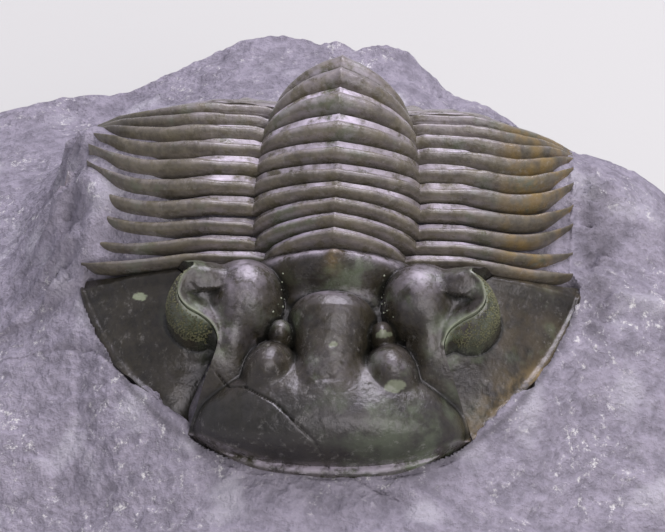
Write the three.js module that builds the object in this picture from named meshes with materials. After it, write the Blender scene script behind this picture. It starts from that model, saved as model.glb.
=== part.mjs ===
// A trilobite fossil on its piece of limestone, in millimetres, +Z up.
// The animal lies draped over a hump of the rock, with its head towards -Y and its tail towards +Y.
// The origin is on the flat cut base of the rock, under the middle of the thorax.
//
// Every plate is laid out in the animal's own coordinates:
//   x  across the body, positive to the right of a viewer who faces the head
//   s  arc length along the back, from the front of the head towards the tail
//   h  height above the line of the back
import * as THREE from "three";

// Driving dimensions
const HEAD_LENGTH = 18;
const HEAD_HALF = { left: 21.4, right: 19.8 };
const HEAD_FRONT = 0.2;
const SUTURE_FRONT = 3.9;
const GENAL_BACK = 1.0;
const VAULT = 6;
const VAULT_HALF = 20.6;
const SEGMENT_LENGTHS = [1.45, 1.5, 1.6, 1.8, 1.9, 1.9, 1.9, 1.9, 1.9, 1.9];
const TAIL_LENGTH = 21;
const TAIL_HALF = 18.5;
const TAIL_RIBS = 15;
const SHELL_DEPTH = 1.2;
const SEAM = 0.3;
const BED_GAP = 0.45;

// Line of the back: where it starts, and its slope in degrees at each arc length
const BACK_START = { y: -22, z: 18 };
const BACK_SLOPES = [
  [-16, 10], [-3, 26], [0, 42], [8, 42], [14, 38], [18, 29], [21, 27], [24.4, 33], [28.2, 33],
  [30.1, 24], [32, 8], [33.9, -10], [35.8, -24], [41, -30], [55, -27], [59, -6], [80, 2],
];
const BED_SLOPES = [
  [-16, 10], [-3, 22], [5, 36], [14, 38], [24, 30], [33, 4], [43, -20], [53, -22], [61, -6], [80, 2],
];

// Thorax: half-width and rise of the axis ring, lift of the flank, and how far each rib's tip sweeps back and droops.
// Over the last share of a rib its width and height taper to their tip shares.
const RING_HALF = [5.75, 6.6, 6.8, 6.85, 6.8, 6.65, 6.5, 6.35, 6.05, 5.7];
const RING_RISE = [4.4, 4.3, 4.1, 3.5, 3.0, 3.4, 4.2, 4.7, 5.0, 4.7];
const FLANK_LIFT = [0, -0.1, 0, 0.35, 0.4, 0.2, -0.2, -0.5, -0.7, -0.6];
const TIP_SWEEP = [1.3, 2.4, 4.0, 4.4, 4.9, 5.2, 5.6, 6.0, 6.3, 6.6];
const TIP_DROOP = [5.1, 5.4, 5.1, 5.1, 4.8, 4.5, 4.0, 3.6, 3.2, 3.0];
const BED_DROOP = [[20, 5.3], [23, 5.4], [28.5, 5.2], [31, 4.8], [35.3, 4.1], [41.6, 3.3], [70, 3.3]];
const FULCRUM = 10.3;
const REACH = { left: 21.3, right: 19.6 };
const ROLL = 0.035;
const TIP_SHARE = 0.35;
const TIP_WIDTH = 0.12;
const TIP_HEIGHT = 0.4;

// Facial suture, from the front margin round the eye to the back margin, as [x, s]
const SUTURE = [
  [11.5, 3.9], [10.9, 5.6], [10.1, 7.6], [9.55, 9.3], [9.7, 10.2], [10.7, 10.45], [11.9, 11.0],
  [12.7, 12.1], [12.85, 13.3], [12.2, 14.5], [11.1, 15.6], [11.9, 16.8], [13.0, 18.0],
];
const EYE_PATH = SUTURE.slice(4, 11);
const EYE_RIM = [[0, 2.5], [0.35, 3.0], [0.6, 3.6], [0.85, 4.2], [1, 4.5]];
const EYE_WIDTH = [[0, 1.5], [0.3, 1.9], [0.6, 1.6], [0.85, 1.0], [1, 0.5]];
const EYE_UNDER_RIM = 0.45;
const CHEEK_SINK = { left: 0.9, right: 0 };
const LOBE_HALF = 11.1;
const LOBE_WIDEST = 4.2;
const HUB = [0, 13];

// Rock
const ROCK_BACK = 73;
const ROCK_FRONT = -15;
const ROCK_HALF = { left: 42, right: 40 };
const ROCK_GROUND = { left: 19.8, right: 19 };
const ROCK_LOWEST = 10;
const SHOULDER_START = 19;
const SHOULDER_END = { left: 31, right: 43 };
const FOSSIL_EDGE = 23;
const BED_HALF = 21;
const LAP = 1;
const CUT_DEPTH = 9;
const ROCK_MIDDLE = [0, 12];
// Broken sides below the top's edge: share of its height, and how far each level stands out
const ROCK_SIDES = [[0.62, 1.6], [0.3, 1.0], [0, 0]];

// Grid counts
const CRANIDIUM_GRID = [35, 2 * (SUTURE.length - 1) + 1];
const CHEEK_GRID = [11, SUTURE.length];
const FLANK_STATIONS = 8;
const RING_STATIONS = 9;
const TAIL_ROWS = 6;
const TAIL_BED_ROWS = 3;
const ROCK_GRID = [25, 29];
const TAIL_START = HEAD_LENGTH + SEGMENT_LENGTHS.reduce((sum, length) => sum + length, 0);

const clamp = THREE.MathUtils.clamp;
const mix = THREE.MathUtils.lerp;
const smooth = THREE.MathUtils.smoothstep;
const side = (x, pair) => (x < 0 ? pair.left : pair.right);

// Value at t of a line of [t, value] knots
function along(knots, t) {
  const next = knots.findIndex(([at]) => at > t);
  if (next === 0) return knots[0][1];
  if (next < 0) return knots[knots.length - 1][1];
  const [t0, v0] = knots[next - 1];
  const [t1, v1] = knots[next];
  return mix(v0, v1, (t - t0) / (t1 - t0));
}

// Point at a share of a path of [x, s] points, by point count
function pointOn(path, share) {
  const at = clamp(share, 0, 1) * (path.length - 1);
  const k = Math.min(Math.floor(at), path.length - 2);
  return [mix(path[k][0], path[k + 1][0], at - k), mix(path[k][1], path[k + 1][1], at - k)];
}

// Distance from (x, s) to a path, and the share along it of the nearest point
function nearest(path, x, s) {
  let best = { distance: Infinity, share: 0 };
  for (let k = 0; k < path.length - 1; k++) {
    const [ax, as] = path[k];
    const [dx, ds] = [path[k + 1][0] - ax, path[k + 1][1] - as];
    const t = clamp(((x - ax) * dx + (s - as) * ds) / (dx * dx + ds * ds), 0, 1);
    const distance = Math.hypot(x - ax - t * dx, s - as - t * ds);
    if (distance < best.distance) best = { distance, share: (k + t) / (path.length - 1) };
  }
  return best;
}

// The back as a table of its place and slope, with the corners of the slope rounded
const BACK_STEP = 0.25;
const BACK_FROM = -20;
const BACK_ROUNDING = 0.75;
const BED_ROUNDING = 2;
const back = [];
for (let s = BACK_FROM; s <= 80; s += BACK_STEP) {
  const rounded = (slopes, reach) =>
    THREE.MathUtils.degToRad(
      (along(slopes, s - reach) + 2 * along(slopes, s) + along(slopes, s + reach)) / 4,
    );
  back.push({ slope: rounded(BACK_SLOPES, BACK_ROUNDING), bed: rounded(BED_SLOPES, BED_ROUNDING) });
}
const startIndex = -BACK_FROM / BACK_STEP;
Object.assign(back[startIndex], BACK_START);
for (let i = startIndex + 1; i < back.length; i++) {
  const slope = (back[i].slope + back[i - 1].slope) / 2;
  back[i].y = back[i - 1].y + BACK_STEP * Math.cos(slope);
  back[i].z = back[i - 1].z + BACK_STEP * Math.sin(slope);
}
for (let i = startIndex - 1; i >= 0; i--) {
  const slope = (back[i].slope + back[i + 1].slope) / 2;
  back[i].y = back[i + 1].y - BACK_STEP * Math.cos(slope);
  back[i].z = back[i + 1].z - BACK_STEP * Math.sin(slope);
}

// World point of (x, s, h). Below the back the normal is a smoother one, so that deep points don't cross.
function place([x, s, h]) {
  const at = clamp((s - BACK_FROM) / BACK_STEP, 0, back.length - 1.001);
  const i = Math.floor(at);
  const read = (key) => mix(back[i][key], back[i + 1][key], at - i);
  const normal = read(h > 0 ? "slope" : "bed");
  return [x, read("y") - h * Math.sin(normal), read("z") + h * Math.cos(normal)];
}

// Relief of the head
const bump = (x, s, cx, cs, rx, rs, top, sharpness = 0.5, power = 2) =>
  top * Math.max(0, 1 - Math.abs((x - cx) / rx) ** power - Math.abs((s - cs) / rs) ** power) ** sharpness;

function smoothMax(a, b, k) {
  const t = clamp(0.5 + (0.5 * (a - b)) / k, 0, 1);
  return mix(b, a, t) + k * t * (1 - t);
}

const vault = (x) => -VAULT * (Math.abs(x) / VAULT_HALF) ** 2.6;
const headFront = (x) =>
  HEAD_FRONT + HEAD_LENGTH * (1 - Math.max(0, 1 - (Math.abs(x) / side(x, HEAD_HALF)) ** 2.15) ** 0.75);

function frontalLobe(x, s) {
  const ahead = s < LOBE_WIDEST;
  const length = Math.abs((s - LOBE_WIDEST) / (ahead ? 3.65 : 6.8));
  const e = Math.abs(x / LOBE_HALF) ** 2.3 + length ** (ahead ? 2.3 : 1.3);
  return 4.3 * Math.max(0, 1 - e) ** 0.55;
}

function occipitalRing(x, s) {
  const across = Math.max(0, 1 - (Math.abs(x) / 5.8) ** 2.2) ** 0.6;
  return 4.7 * across * Math.max(0, 1 - ((s - 16.9) / 1.6) ** 2) ** 0.5;
}

// The eye's lid rises to its rim along the suture
function eyeLid(x, s) {
  const { distance, share } = nearest(EYE_PATH, Math.abs(x), s);
  return along(EYE_RIM, share) - vault(x) - 0.26 * distance ** 2;
}

function headRelief(x, s) {
  const m = Math.abs(x);
  let h = smoothMax(frontalLobe(x, s), bump(x, s, 0, 8.6, 2.75, 4.7, 3.9, 0.5, 2.4), 0.5);
  h = smoothMax(h, bump(m, s, 4.95, 8.0, 2.15, 2.2, 4.6), 0.35);
  h = smoothMax(h, bump(m, s, 4.1, 10.85, 1.05, 1.0, 3.4), 0.3);
  h = smoothMax(h, bump(x, s, 0, 12.1, 3.5, 2.8, 4.5, 0.42, 2.3), 0.4);
  h = smoothMax(h, occipitalRing(x, s), 0.4);
  h = smoothMax(h, bump(m, s, 7.2, 13.7, 4.0, 3.9, 4.9, 0.5, 2.1), 0.4);
  h = smoothMax(h, m > 6 ? eyeLid(x, s) : 0, 0.35);
  h += 0.5 * Math.exp(-(((s - 17.4) / 0.5) ** 2)) * smooth(m, 5, 7);
  h += 0.45 * Math.exp(-(((s - headFront(x) - 0.35) / 0.35) ** 2));
  return h + vault(x);
}

// The eye's lens surface bulges out under the rim, and the cheek falls away from it
function cheekRelief(x, s) {
  const { distance, share } = nearest(EYE_PATH, Math.abs(x), s);
  const eye = along(EYE_RIM, share) - EYE_UNDER_RIM - vault(x);
  const bulge = eye * Math.max(0, 1 - (distance / along(EYE_WIDTH, share)) ** 2) ** 0.5;
  const border = 0.5 * Math.exp(-(((s - 17.6) / 0.6) ** 2));
  return smoothMax(0.5 * bump(Math.abs(x), s, 14, 12, 7, 8, 1), bulge, 0.3) + border + vault(x);
}

// A closed mesh from points and triangles
function meshOf(name, material, points, triangles) {
  const geometry = new THREE.BufferGeometry();
  geometry.setAttribute("position", new THREE.Float32BufferAttribute(points.flat(), 3));
  geometry.setIndex(triangles.flat());
  geometry.computeVertexNormals();
  const mesh = new THREE.Mesh(geometry, material);
  mesh.name = name;
  return mesh;
}

const quad = (a, b, c, d) => [[a, b, c], [a, c, d]];

// A plate: rows of top points, each row running to +x and the rows following each other to +s.
// Its edge drops to the bed, and its underside is a fan about the hub, or a grid where there is no hub.
function plate(name, material, rows, bedOf, hub) {
  const columns = rows[0].length;
  const at = (row, column) => row * columns + column;
  const top = rows.flat();
  const edge = [];
  for (let c = 0; c < columns; c++) edge.push(at(0, c));
  for (let r = 1; r < rows.length; r++) edge.push(at(r, columns - 1));
  for (let c = columns - 2; c >= 0; c--) edge.push(at(rows.length - 1, c));
  for (let r = rows.length - 2; r > 0; r--) edge.push(at(r, 0));
  const triangles = [];
  for (let r = 0; r < rows.length - 1; r++)
    for (let c = 0; c < columns - 1; c++)
      triangles.push(...quad(at(r, c), at(r, c + 1), at(r + 1, c + 1), at(r + 1, c)));
  const lower = hub ? [...edge.map((i) => top[i]), hub] : top;
  const under = new Map(hub ? edge.map((i, k) => [i, top.length + k]) : top.map((_, i) => [i, top.length + i]));
  edge.forEach((i, k) => {
    const j = edge[(k + 1) % edge.length];
    triangles.push(...quad(i, under.get(i), under.get(j), j));
    if (hub) triangles.push([top.length + edge.length, under.get(j), under.get(i)]);
  });
  if (!hub)
    for (let r = 0; r < rows.length - 1; r++)
      for (let c = 0; c < columns - 1; c++)
        triangles.push(
          ...quad(
            under.get(at(r, c)), under.get(at(r + 1, c)),
            under.get(at(r + 1, c + 1)), under.get(at(r, c + 1)),
          ),
        );
  const points = [...top, ...lower.map(([x, s]) => [x, s, bedOf(x, s)])].map(place);
  return meshOf(name, material, points, triangles);
}

// A bar: closed rings of points, one for each station from -x to +x
function bar(name, material, rings) {
  const count = rings[0].length;
  const triangles = [];
  for (let r = 0; r < rings.length - 1; r++)
    for (let k = 0; k < count; k++) {
      const next = (k + 1) % count;
      triangles.push(
        ...quad(r * count + k, r * count + next, (r + 1) * count + next, (r + 1) * count + k),
      );
    }
  const last = (rings.length - 1) * count;
  for (let k = 1; k < count - 1; k++) {
    triangles.push([0, k + 1, k]);
    triangles.push([last, last + k, last + k + 1]);
  }
  return meshOf(name, material, rings.flat().map(place), triangles);
}

const bedUnderHead = (x) => vault(x) - SHELL_DEPTH;

// Point of the facial suture, set off to its outer side
function sutureAt(v, offset) {
  const [x0, s0] = pointOn(SUTURE, v - 0.02);
  const [x1, s1] = pointOn(SUTURE, v + 0.02);
  const [x, s] = pointOn(SUTURE, v);
  const length = Math.hypot(x1 - x0, s1 - s0);
  return [x + (offset * (s1 - s0)) / length, s - (offset * (x1 - x0)) / length];
}

function cranidium(material) {
  const [columns, rowCount] = CRANIDIUM_GRID;
  const rows = [];
  for (let r = 0; r < rowCount; r++) {
    const v = r / (rowCount - 1);
    const [half, sutureEnd] = sutureAt(v, -SEAM / 2);
    const end = v < 1 ? sutureEnd : HEAD_LENGTH;
    const row = [];
    for (let c = 0; c < columns; c++) {
      const u = mix(-1, 1, c / (columns - 1));
      const x = u * LOBE_HALF + Math.sign(u) * Math.abs(u) ** 6 * (half - LOBE_HALF);
      const bow = Math.max(0, SUTURE_FRONT - headFront(x)) * (1 - v) ** 1.6 * (1 - u ** 8);
      row.push([x, end - bow, 0]);
    }
    rows.push(row.map(([x, s]) => [x, s, headRelief(x, s)]));
  }
  return plate("cranidium", material, rows, bedUnderHead, HUB);
}

function freeCheek(sideName, material) {
  const [columns, rowCount] = CHEEK_GRID;
  const sign = sideName === "left" ? -1 : 1;
  const half = HEAD_HALF[sideName];
  const rows = [];
  for (let r = 0; r < rowCount; r++) {
    const v = r / (rowCount - 1);
    const [inner, sutureS] = sutureAt(v, SEAM / 2);
    const innerS = v < 1 ? sutureS : HEAD_LENGTH;
    const turn = mix(SUTURE[0][0] / half + 0.02, 1, Math.sin((v * Math.PI) / 2) ** 0.85);
    const outer = sign * half * turn;
    const outerS = v < 1 ? Math.max(headFront(outer), innerS * 0.9) : HEAD_LENGTH + GENAL_BACK;
    const row = [];
    for (let c = 0; c < columns; c++) {
      const u = (c / (columns - 1)) ** 1.5;
      const x = sign * mix(inner, Math.abs(outer), u);
      const s = mix(innerS, Math.min(outerS, HEAD_LENGTH + GENAL_BACK), v < 1 ? u : u * u);
      const sink = CHEEK_SINK[sideName] * (1 - 0.8 * v) * (1 - u);
      row.push([x, s, cheekRelief(x, s) - sink]);
    }
    rows.push(sign < 0 ? row.reverse() : row);
  }
  return plate("free_cheek_" + sideName, material, rows, bedUnderHead);
}

// Share of the way from the fulcrum to the rib's tip
const outward = (x) => clamp((Math.abs(x) - FULCRUM) / (side(x, REACH) - FULCRUM), 0, 1.1);
const arch = (r) => 0.93 * Math.max(0, 1 - r * r) ** 0.72 + 0.07 * Math.exp(-Math.abs(r) / 0.09);
const roll = (x, s) => -ROLL * x * smooth(s, HEAD_LENGTH, HEAD_LENGTH + 6);
const sweepBack = (i, x) => TIP_SWEEP[i] * outward(x) ** 3;
const flank = (i, x) => FLANK_LIFT[i] - TIP_DROOP[i] * outward(x) ** 1.25;

// Stations across a segment, close together on the ring and at its edges
function stations(ringHalf) {
  const xs = [];
  for (let k = 0; k < FLANK_STATIONS; k++)
    xs.push(-mix(REACH.left, ringHalf, (k / FLANK_STATIONS) ** 0.85));
  for (let k = 0; k < RING_STATIONS; k++)
    xs.push(ringHalf * Math.sin(mix(-Math.PI / 2, Math.PI / 2, k / (RING_STATIONS - 1))));
  for (let k = FLANK_STATIONS - 1; k >= 0; k--)
    xs.push(mix(REACH.right, ringHalf, (k / FLANK_STATIONS) ** 0.85));
  return xs;
}

// One thorax segment: a flange in front that goes under its neighbour, and a raised rod behind it
function segment(i, material) {
  const length = SEGMENT_LENGTHS[i];
  const middle = TAIL_START - SEGMENT_LENGTHS.slice(i).reduce((sum, l) => sum + l, 0) + length / 2;
  const end = 0.5 - SEAM / 2 / length;
  const profile = [
    [-end, -SHELL_DEPTH], [end, -SHELL_DEPTH], [end, -0.2], [0.36, 0.45], [0.08, 0.6], [-0.12, 0.35],
    [-0.2, -0.3], [-end, -0.4],
  ];
  const rings = stations(RING_HALF[i]).map((x) => {
    const inside = Math.abs(x) < RING_HALF[i];
    const rise = (inside ? RING_RISE[i] * arch(x / RING_HALF[i]) : 0) + flank(i, x) + roll(x, middle);
    const taper = clamp((1 - outward(x)) / TIP_SHARE, TIP_WIDTH, 1) ** 0.6;
    const bed = flank(i, x) + roll(x, middle) - SHELL_DEPTH;
    return profile.map(([share, height]) => {
      const s = middle + sweepBack(i, x) + share * length * taper;
      return [x, s, height === -SHELL_DEPTH ? bed : rise + height * mix(TIP_HEIGHT, 1, taper)];
    });
  });
  return bar("segment_" + String(i + 1).padStart(2, "0"), material, rings);
}

// Height of the tail's middle lobe and its ribs, which fan out from the front
function tailRelief(x, s, share, turn) {
  const lobe = bump(x, s, 0, TAIL_START, 5.4, 7.5, 3.6, 0.6);
  const rib = 0.3 * Math.cos(2 * TAIL_RIBS * turn) * smooth(share, 0.25, 0.5);
  return lobe + rib + flank(9, x * 0.97) + roll(x, s);
}

function tailShield(material) {
  const start = TAIL_START + SEAM;
  const columns = 2 * TAIL_RIBS + 1;
  const placeOf = (share, turn) => {
    const x = -TAIL_HALF * share * Math.cos(turn);
    const s = start + sweepBack(9, x) * (1 - Math.sin(turn)) + TAIL_LENGTH * share * Math.sin(turn);
    return [x, s, tailRelief(x, s, share, turn)];
  };
  const points = [[0, start, tailRelief(0, start, 0, 0)]];
  for (let r = 1; r <= TAIL_ROWS; r++)
    for (let c = 0; c < columns; c++)
      points.push(placeOf(r / TAIL_ROWS, (Math.PI * c) / (columns - 1)));
  const at = (row, column) => (row === 0 ? 0 : 1 + (row - 1) * columns + column);
  const hub = points.length;
  const under = (row, column) => (row === 0 ? hub : hub + 1 + (row - 1) * columns + column);
  const bed = (x, s) => [x, s, flank(9, x * 0.97) + roll(x, s) - SHELL_DEPTH];
  points.push(bed(0, start));
  for (let r = 1; r <= TAIL_BED_ROWS; r++)
    for (let c = 0; c < columns; c++) {
      const [x, s] = placeOf(r / TAIL_BED_ROWS, (Math.PI * c) / (columns - 1));
      points.push(bed(x, s));
    }
  const triangles = [];
  for (let c = 0; c < columns - 1; c++) {
    triangles.push([0, at(1, c + 1), at(1, c)], [hub, under(1, c), under(1, c + 1)]);
    for (let r = 1; r < TAIL_ROWS; r++)
      triangles.push(...quad(at(r, c), at(r, c + 1), at(r + 1, c + 1), at(r + 1, c)));
    for (let r = 1; r < TAIL_BED_ROWS; r++)
      triangles.push(...quad(under(r, c), under(r + 1, c), under(r + 1, c + 1), under(r, c + 1)));
    const [rim, rimBed] = [(k) => at(TAIL_ROWS, k), (k) => under(TAIL_BED_ROWS, k)];
    triangles.push(...quad(rim(c), rim(c + 1), rimBed(c + 1), rimBed(c)));
  }
  const perRow = TAIL_ROWS / TAIL_BED_ROWS;
  for (const [column, flip] of [[0, false], [columns - 1, true]]) {
    const strip = [];
    for (let r = 0; r < TAIL_ROWS; r++) {
      const low = Math.floor(r / perRow);
      strip.push([at(r, column), at(r + 1, column), under(low, column)]);
      if ((r + 1) % perRow === 0)
        strip.push([at(r + 1, column), under(low + 1, column), under(low, column)]);
    }
    for (const [i, j, k] of strip) triangles.push(flip ? [i, k, j] : [i, j, k]);
  }
  return meshOf("tail_shield", material, points.map(place), triangles);
}

// Broken edges: a slow wave made of a few sines
const wave = (a, b, c) =>
  0.5 * Math.sin(a * 0.21 + c) +
  0.35 * Math.sin(b * 0.17 - a * 0.09 + 2.1 * c) +
  0.15 * Math.sin((a + b) * 0.37 + c);

// Under the fossil the rock keeps below every plate, and past the flanks it rolls down to the ground level
function rockTop(x, s) {
  const m = Math.abs(x);
  const flankLike = -along(BED_DROOP, s) * Math.min(outward(x), 1) ** 1.25 - 0.4 * smooth(s, 25, 29);
  const headShare = 1 - smooth(s, HEAD_LENGTH, HEAD_LENGTH + 2.5);
  const bed = mix(flankLike, vault(Math.min(m, BED_HALF)) - 0.3, headShare) - SHELL_DEPTH - BED_GAP;
  const lap = LAP * smooth(m, FOSSIL_EDGE, FOSSIL_EDGE + 3);
  const fall = roll(clamp(x, -BED_HALF, BED_HALF), s) - 0.2 * Math.max(0, m - BED_HALF);
  const [px, py, pz] = place([x, s, bed + lap + fall]);
  const shoulder = smooth(m, SHOULDER_START, side(x, SHOULDER_END));
  const slope = side(x, ROCK_GROUND) - 0.3 * Math.max(0, 2 - py) - 0.05 * Math.max(0, py);
  const ground = Math.max(ROCK_LOWEST, slope) + 0.6 * wave(px, py, 1);
  const cut = CUT_DEPTH * smooth(x + 0.8 * (py - 8), 30, 52);
  const top = pz - 1.4 * smooth(m, 4, 16) * smooth(s, 45, 60);
  return [px, py, Math.max(ROCK_LOWEST / 2, mix(top, Math.min(top, ground), shoulder) - cut)];
}

function matrix(material) {
  const [columns, rowCount] = ROCK_GRID;
  const spread = (t) => Math.sign(t) * Math.abs(t) ** 1.25;
  const points = [];
  for (let r = 0; r < rowCount; r++) {
    const v = r / (rowCount - 1);
    for (let c = 0; c < columns; c++) {
      const u = mix(-1, 1, c / (columns - 1));
      const corner = 1 - 0.16 * Math.abs(2 * v - 1) ** 4 - (u > 0 ? 0.28 * smooth(v, 0.62, 1) : 0);
      const half = side(u, ROCK_HALF) * corner;
      const x = spread(u) * half + Math.abs(u) ** 6 * 1.2 * wave(v * 80, u * 9, 3);
      const ends = Math.abs(2 * v - 1) ** 6 * (1.6 * wave(u * 40, v * 9, 5) - 5 * u ** 4 * Math.sign(v - 0.5));
      points.push(rockTop(x, mix(ROCK_FRONT, ROCK_BACK, v) + ends));
    }
  }
  const at = (row, column) => row * columns + column;
  const edge = [];
  for (let c = 0; c < columns; c++) edge.push(at(0, c));
  for (let r = 1; r < rowCount; r++) edge.push(at(r, columns - 1));
  for (let c = columns - 2; c >= 0; c--) edge.push(at(rowCount - 1, c));
  for (let r = rowCount - 2; r > 0; r--) edge.push(at(r, 0));
  const triangles = [];
  for (let r = 0; r < rowCount - 1; r++)
    for (let c = 0; c < columns - 1; c++)
      triangles.push(...quad(at(r, c), at(r, c + 1), at(r + 1, c + 1), at(r + 1, c)));
  const [middleX, middleY] = ROCK_MIDDLE;
  let upper = edge;
  ROCK_SIDES.forEach(([share, bulge], level) => {
    const lower = edge.map((i, k) => {
      const [x, y, z] = points[i];
      const out = 1 + ((bulge * (1 + wave(x * 2, y * 2, level)) - 1.5 * (1 - share)) / 40);
      points.push([middleX + (x - middleX) * out, middleY + (y - middleY) * out, z * share]);
      return points.length - 1;
    });
    lower.forEach((low, k) => {
      const next = (k + 1) % lower.length;
      triangles.push(...quad(upper[k], low, lower[next], upper[next]));
    });
    upper = lower;
  });
  points.push([...ROCK_MIDDLE, 0]);
  upper.forEach((i, k) => triangles.push([points.length - 1, upper[(k + 1) % upper.length], i]));
  return meshOf("matrix", material, points, triangles);
}

const shell = () => new THREE.MeshStandardMaterial({ color: 0x4b4a42, roughness: 0.45, metalness: 0 });
const limestone = new THREE.MeshStandardMaterial({ color: 0x9a95a3, roughness: 0.9, metalness: 0 });

const fossil = new THREE.Group();
fossil.name = "trilobite_fossil";
fossil.add(matrix(limestone));
fossil.add(cranidium(shell()));
fossil.add(freeCheek("left", shell()));
fossil.add(freeCheek("right", shell()));
SEGMENT_LENGTHS.forEach((_, i) => fossil.add(segment(i, shell())));
fossil.add(tailShield(shell()));

export default fossil;
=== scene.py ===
import math
from itertools import product
from typing import NamedTuple

import bpy
import numpy as np
from bpy.props import FloatProperty, FloatVectorProperty, IntProperty, PointerProperty
from mathutils import Matrix, Vector


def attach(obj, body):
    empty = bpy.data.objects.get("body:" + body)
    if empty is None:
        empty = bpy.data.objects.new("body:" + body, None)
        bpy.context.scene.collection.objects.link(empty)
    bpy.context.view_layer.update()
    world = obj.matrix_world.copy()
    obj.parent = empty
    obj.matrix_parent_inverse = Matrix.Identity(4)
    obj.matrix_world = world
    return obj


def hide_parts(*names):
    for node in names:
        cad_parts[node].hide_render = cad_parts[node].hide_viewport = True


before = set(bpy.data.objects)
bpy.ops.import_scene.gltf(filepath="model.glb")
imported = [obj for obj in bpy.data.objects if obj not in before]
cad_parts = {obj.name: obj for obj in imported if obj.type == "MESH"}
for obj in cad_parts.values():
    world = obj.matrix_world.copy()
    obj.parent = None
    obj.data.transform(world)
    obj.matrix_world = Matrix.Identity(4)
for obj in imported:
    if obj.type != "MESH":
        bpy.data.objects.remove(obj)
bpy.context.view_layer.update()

bl_info = {
    "name": "Trilobite fossil",
    "version": (1, 0, 0),
    "blender": (4, 5, 0),
    "location": "3D View > Sidebar > Fossil",
    "description": "Builds a trilobite fossil on its piece of limestone",
    "category": "Add Mesh",
}

MM = 0.001
SHARP_ANGLE = math.radians(62)

# Sizes in millimetres, those of the solid model but for the head's right margin, the left cheek's sink, the
# suture and lens round the eyes and the sections of the rings and ribs, which follow the specimen closer.
# x runs across the body, s along the back from the front of the head, and h up from the back.
# A pair of sizes is for the left and the right side.

# The line of the back, and of the bed below it, as slopes in degrees along s
BACK_START = (-22.0, 18.0)
BACK_SLOPES = (
    (-16, 10), (-3, 26), (0, 42), (8, 42), (14, 38), (18, 29), (21, 27), (24.4, 33), (28.2, 33),
    (30.1, 24), (32, 8), (33.9, -10), (35.8, -24), (41, -30), (55, -27), (59, -6), (80, 2),
)
BED_SLOPES = (
    (-16, 10), (-3, 22), (5, 36), (14, 38), (24, 30), (33, 4), (43, -20), (53, -22), (61, -6), (80, 2),
)
BACK_ROUNDING, BED_ROUNDING = 0.75, 2.0

# Plates and the gaps between them
SHELL_DEPTH, SEAM, BED_GAP = 1.2, 0.3, 0.45

# Head: its margin, its vault, the suture on one side, and the eye along a part of the suture
HEAD_LENGTH, HEAD_HALF, HEAD_FRONT = 18.0, (21.4, 20.3), 0.2
MARGIN_POWERS, MARGIN_ROUNDING = (2.4, 2.6), 0.75
VAULT, VAULT_HALF, VAULT_POWER = 6.0, 20.6, 2.6
SUTURE_FRONT, GENAL_BACK = 3.9, 1.0
SUTURE = (
    (11.5, 3.9), (10.9, 5.6), (10.1, 7.6), (9.4, 9.3), (9.1, 10.6), (9.5, 11.6), (10.5, 12.3),
    (11.7, 12.9), (12.35, 13.8), (12.1, 15.0), (11.2, 15.9), (11.9, 16.9), (13.0, 18.0),
)
EYE_PATH = SUTURE[4:11]
EYE_RIM = ((0, 2.6), (0.25, 3.3), (0.5, 3.9), (0.75, 4.3), (1, 4.5))
EYE_WIDTH = ((0, 0.05), (0.12, 0.8), (0.28, 1.55), (0.42, 1.85), (0.6, 1.5), (0.85, 0.9), (1, 0.4))
EYE_UNDER_RIM = 0.45
CHEEK_SINK = (1.35, 0.0)
LOBE_HALF, LOBE_WIDEST, LOBE_RISE = 11.0, 4.2, 4.3
LOBE_AHEAD, LOBE_BEHIND = 3.3, 6.2
COLUMN_HALF = ((3, 5.2), (5, 4.3), (7, 3.3), (9.5, 2.95), (11.5, 3.35), (13.3, 3.7), (14.9, 3.4))
COLUMN_TOP = ((1, 3.0), (4, 3.9), (6, 4.05), (8, 4.15), (11, 4.35), (13, 4.75), (15, 4.6))
OCCIPITAL_HALF = 6.6
OCCIPITAL_PITS, OCCIPITAL_PIT_HALF = (4.6, 15.2), (1.1, 0.9)
OCCIPITAL_NODE = (0.1, 16.9)
NECK_SCARS, SCAR_HALF, SCAR_DEPTH = ((0.2, 10.0), (-0.1, 7.3)), (0.55, 0.35), 0.12
HEAD_CRACKS = (
    ((-6.7, 6.8), (-5.5, 6.0), (-4.2, 5.2), (-2.6, 3.6), (-1.0, 2.2), (0.1, 0.7)),
    ((-9.1, 8.1), (-8.1, 7.0), (-6.7, 6.8)),
)
CRACK_WIDTH, CRACK_DEPTH = 0.09, 0.22
FURROW = ((4.1, 16.4), (3.95, 14.6), (4.35, 13.2), (5.0, 12.5))

# Thorax, from the head back
SEGMENT_LENGTHS = (1.45, 1.5, 1.6, 1.8, 1.9, 1.9, 1.9, 1.9, 1.9, 1.9)
RING_HALF = (5.75, 6.6, 6.8, 6.85, 6.8, 6.65, 6.5, 6.35, 6.05, 5.7)
RING_RISE = (4.4, 4.3, 4.1, 3.5, 3.0, 3.4, 4.2, 4.7, 5.0, 4.7)
FLANK_LIFT = (0, -0.1, 0, 0.35, 0.4, 0.2, -0.2, -0.5, -0.7, -0.6)
TIP_SWEEP = (1.3, 2.4, 4.0, 4.4, 4.9, 5.2, 5.6, 6.0, 6.3, 6.6)
TIP_DROOP = (5.1, 5.4, 5.1, 5.1, 4.8, 4.5, 4.0, 3.6, 3.2, 3.0)
DROOP_POWER = 1.25
FULCRUM, REACH, ROLL, ROLL_LENGTH = 10.3, (21.3, 19.6), 0.035, 6.0
# Where a rib starts to narrow towards its tip, the tip's width and its height, as shares
TIP_SHARE, TIP_WIDTH, TIP_HEIGHT = 0.25, 0.2, 0.6
# The arch of a ring, with a low crest along its middle
ARCH_POWER, ARCH_ROUNDING, CREST, CREST_WIDTH = 1.75, 0.8, 0.07, 0.09

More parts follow.
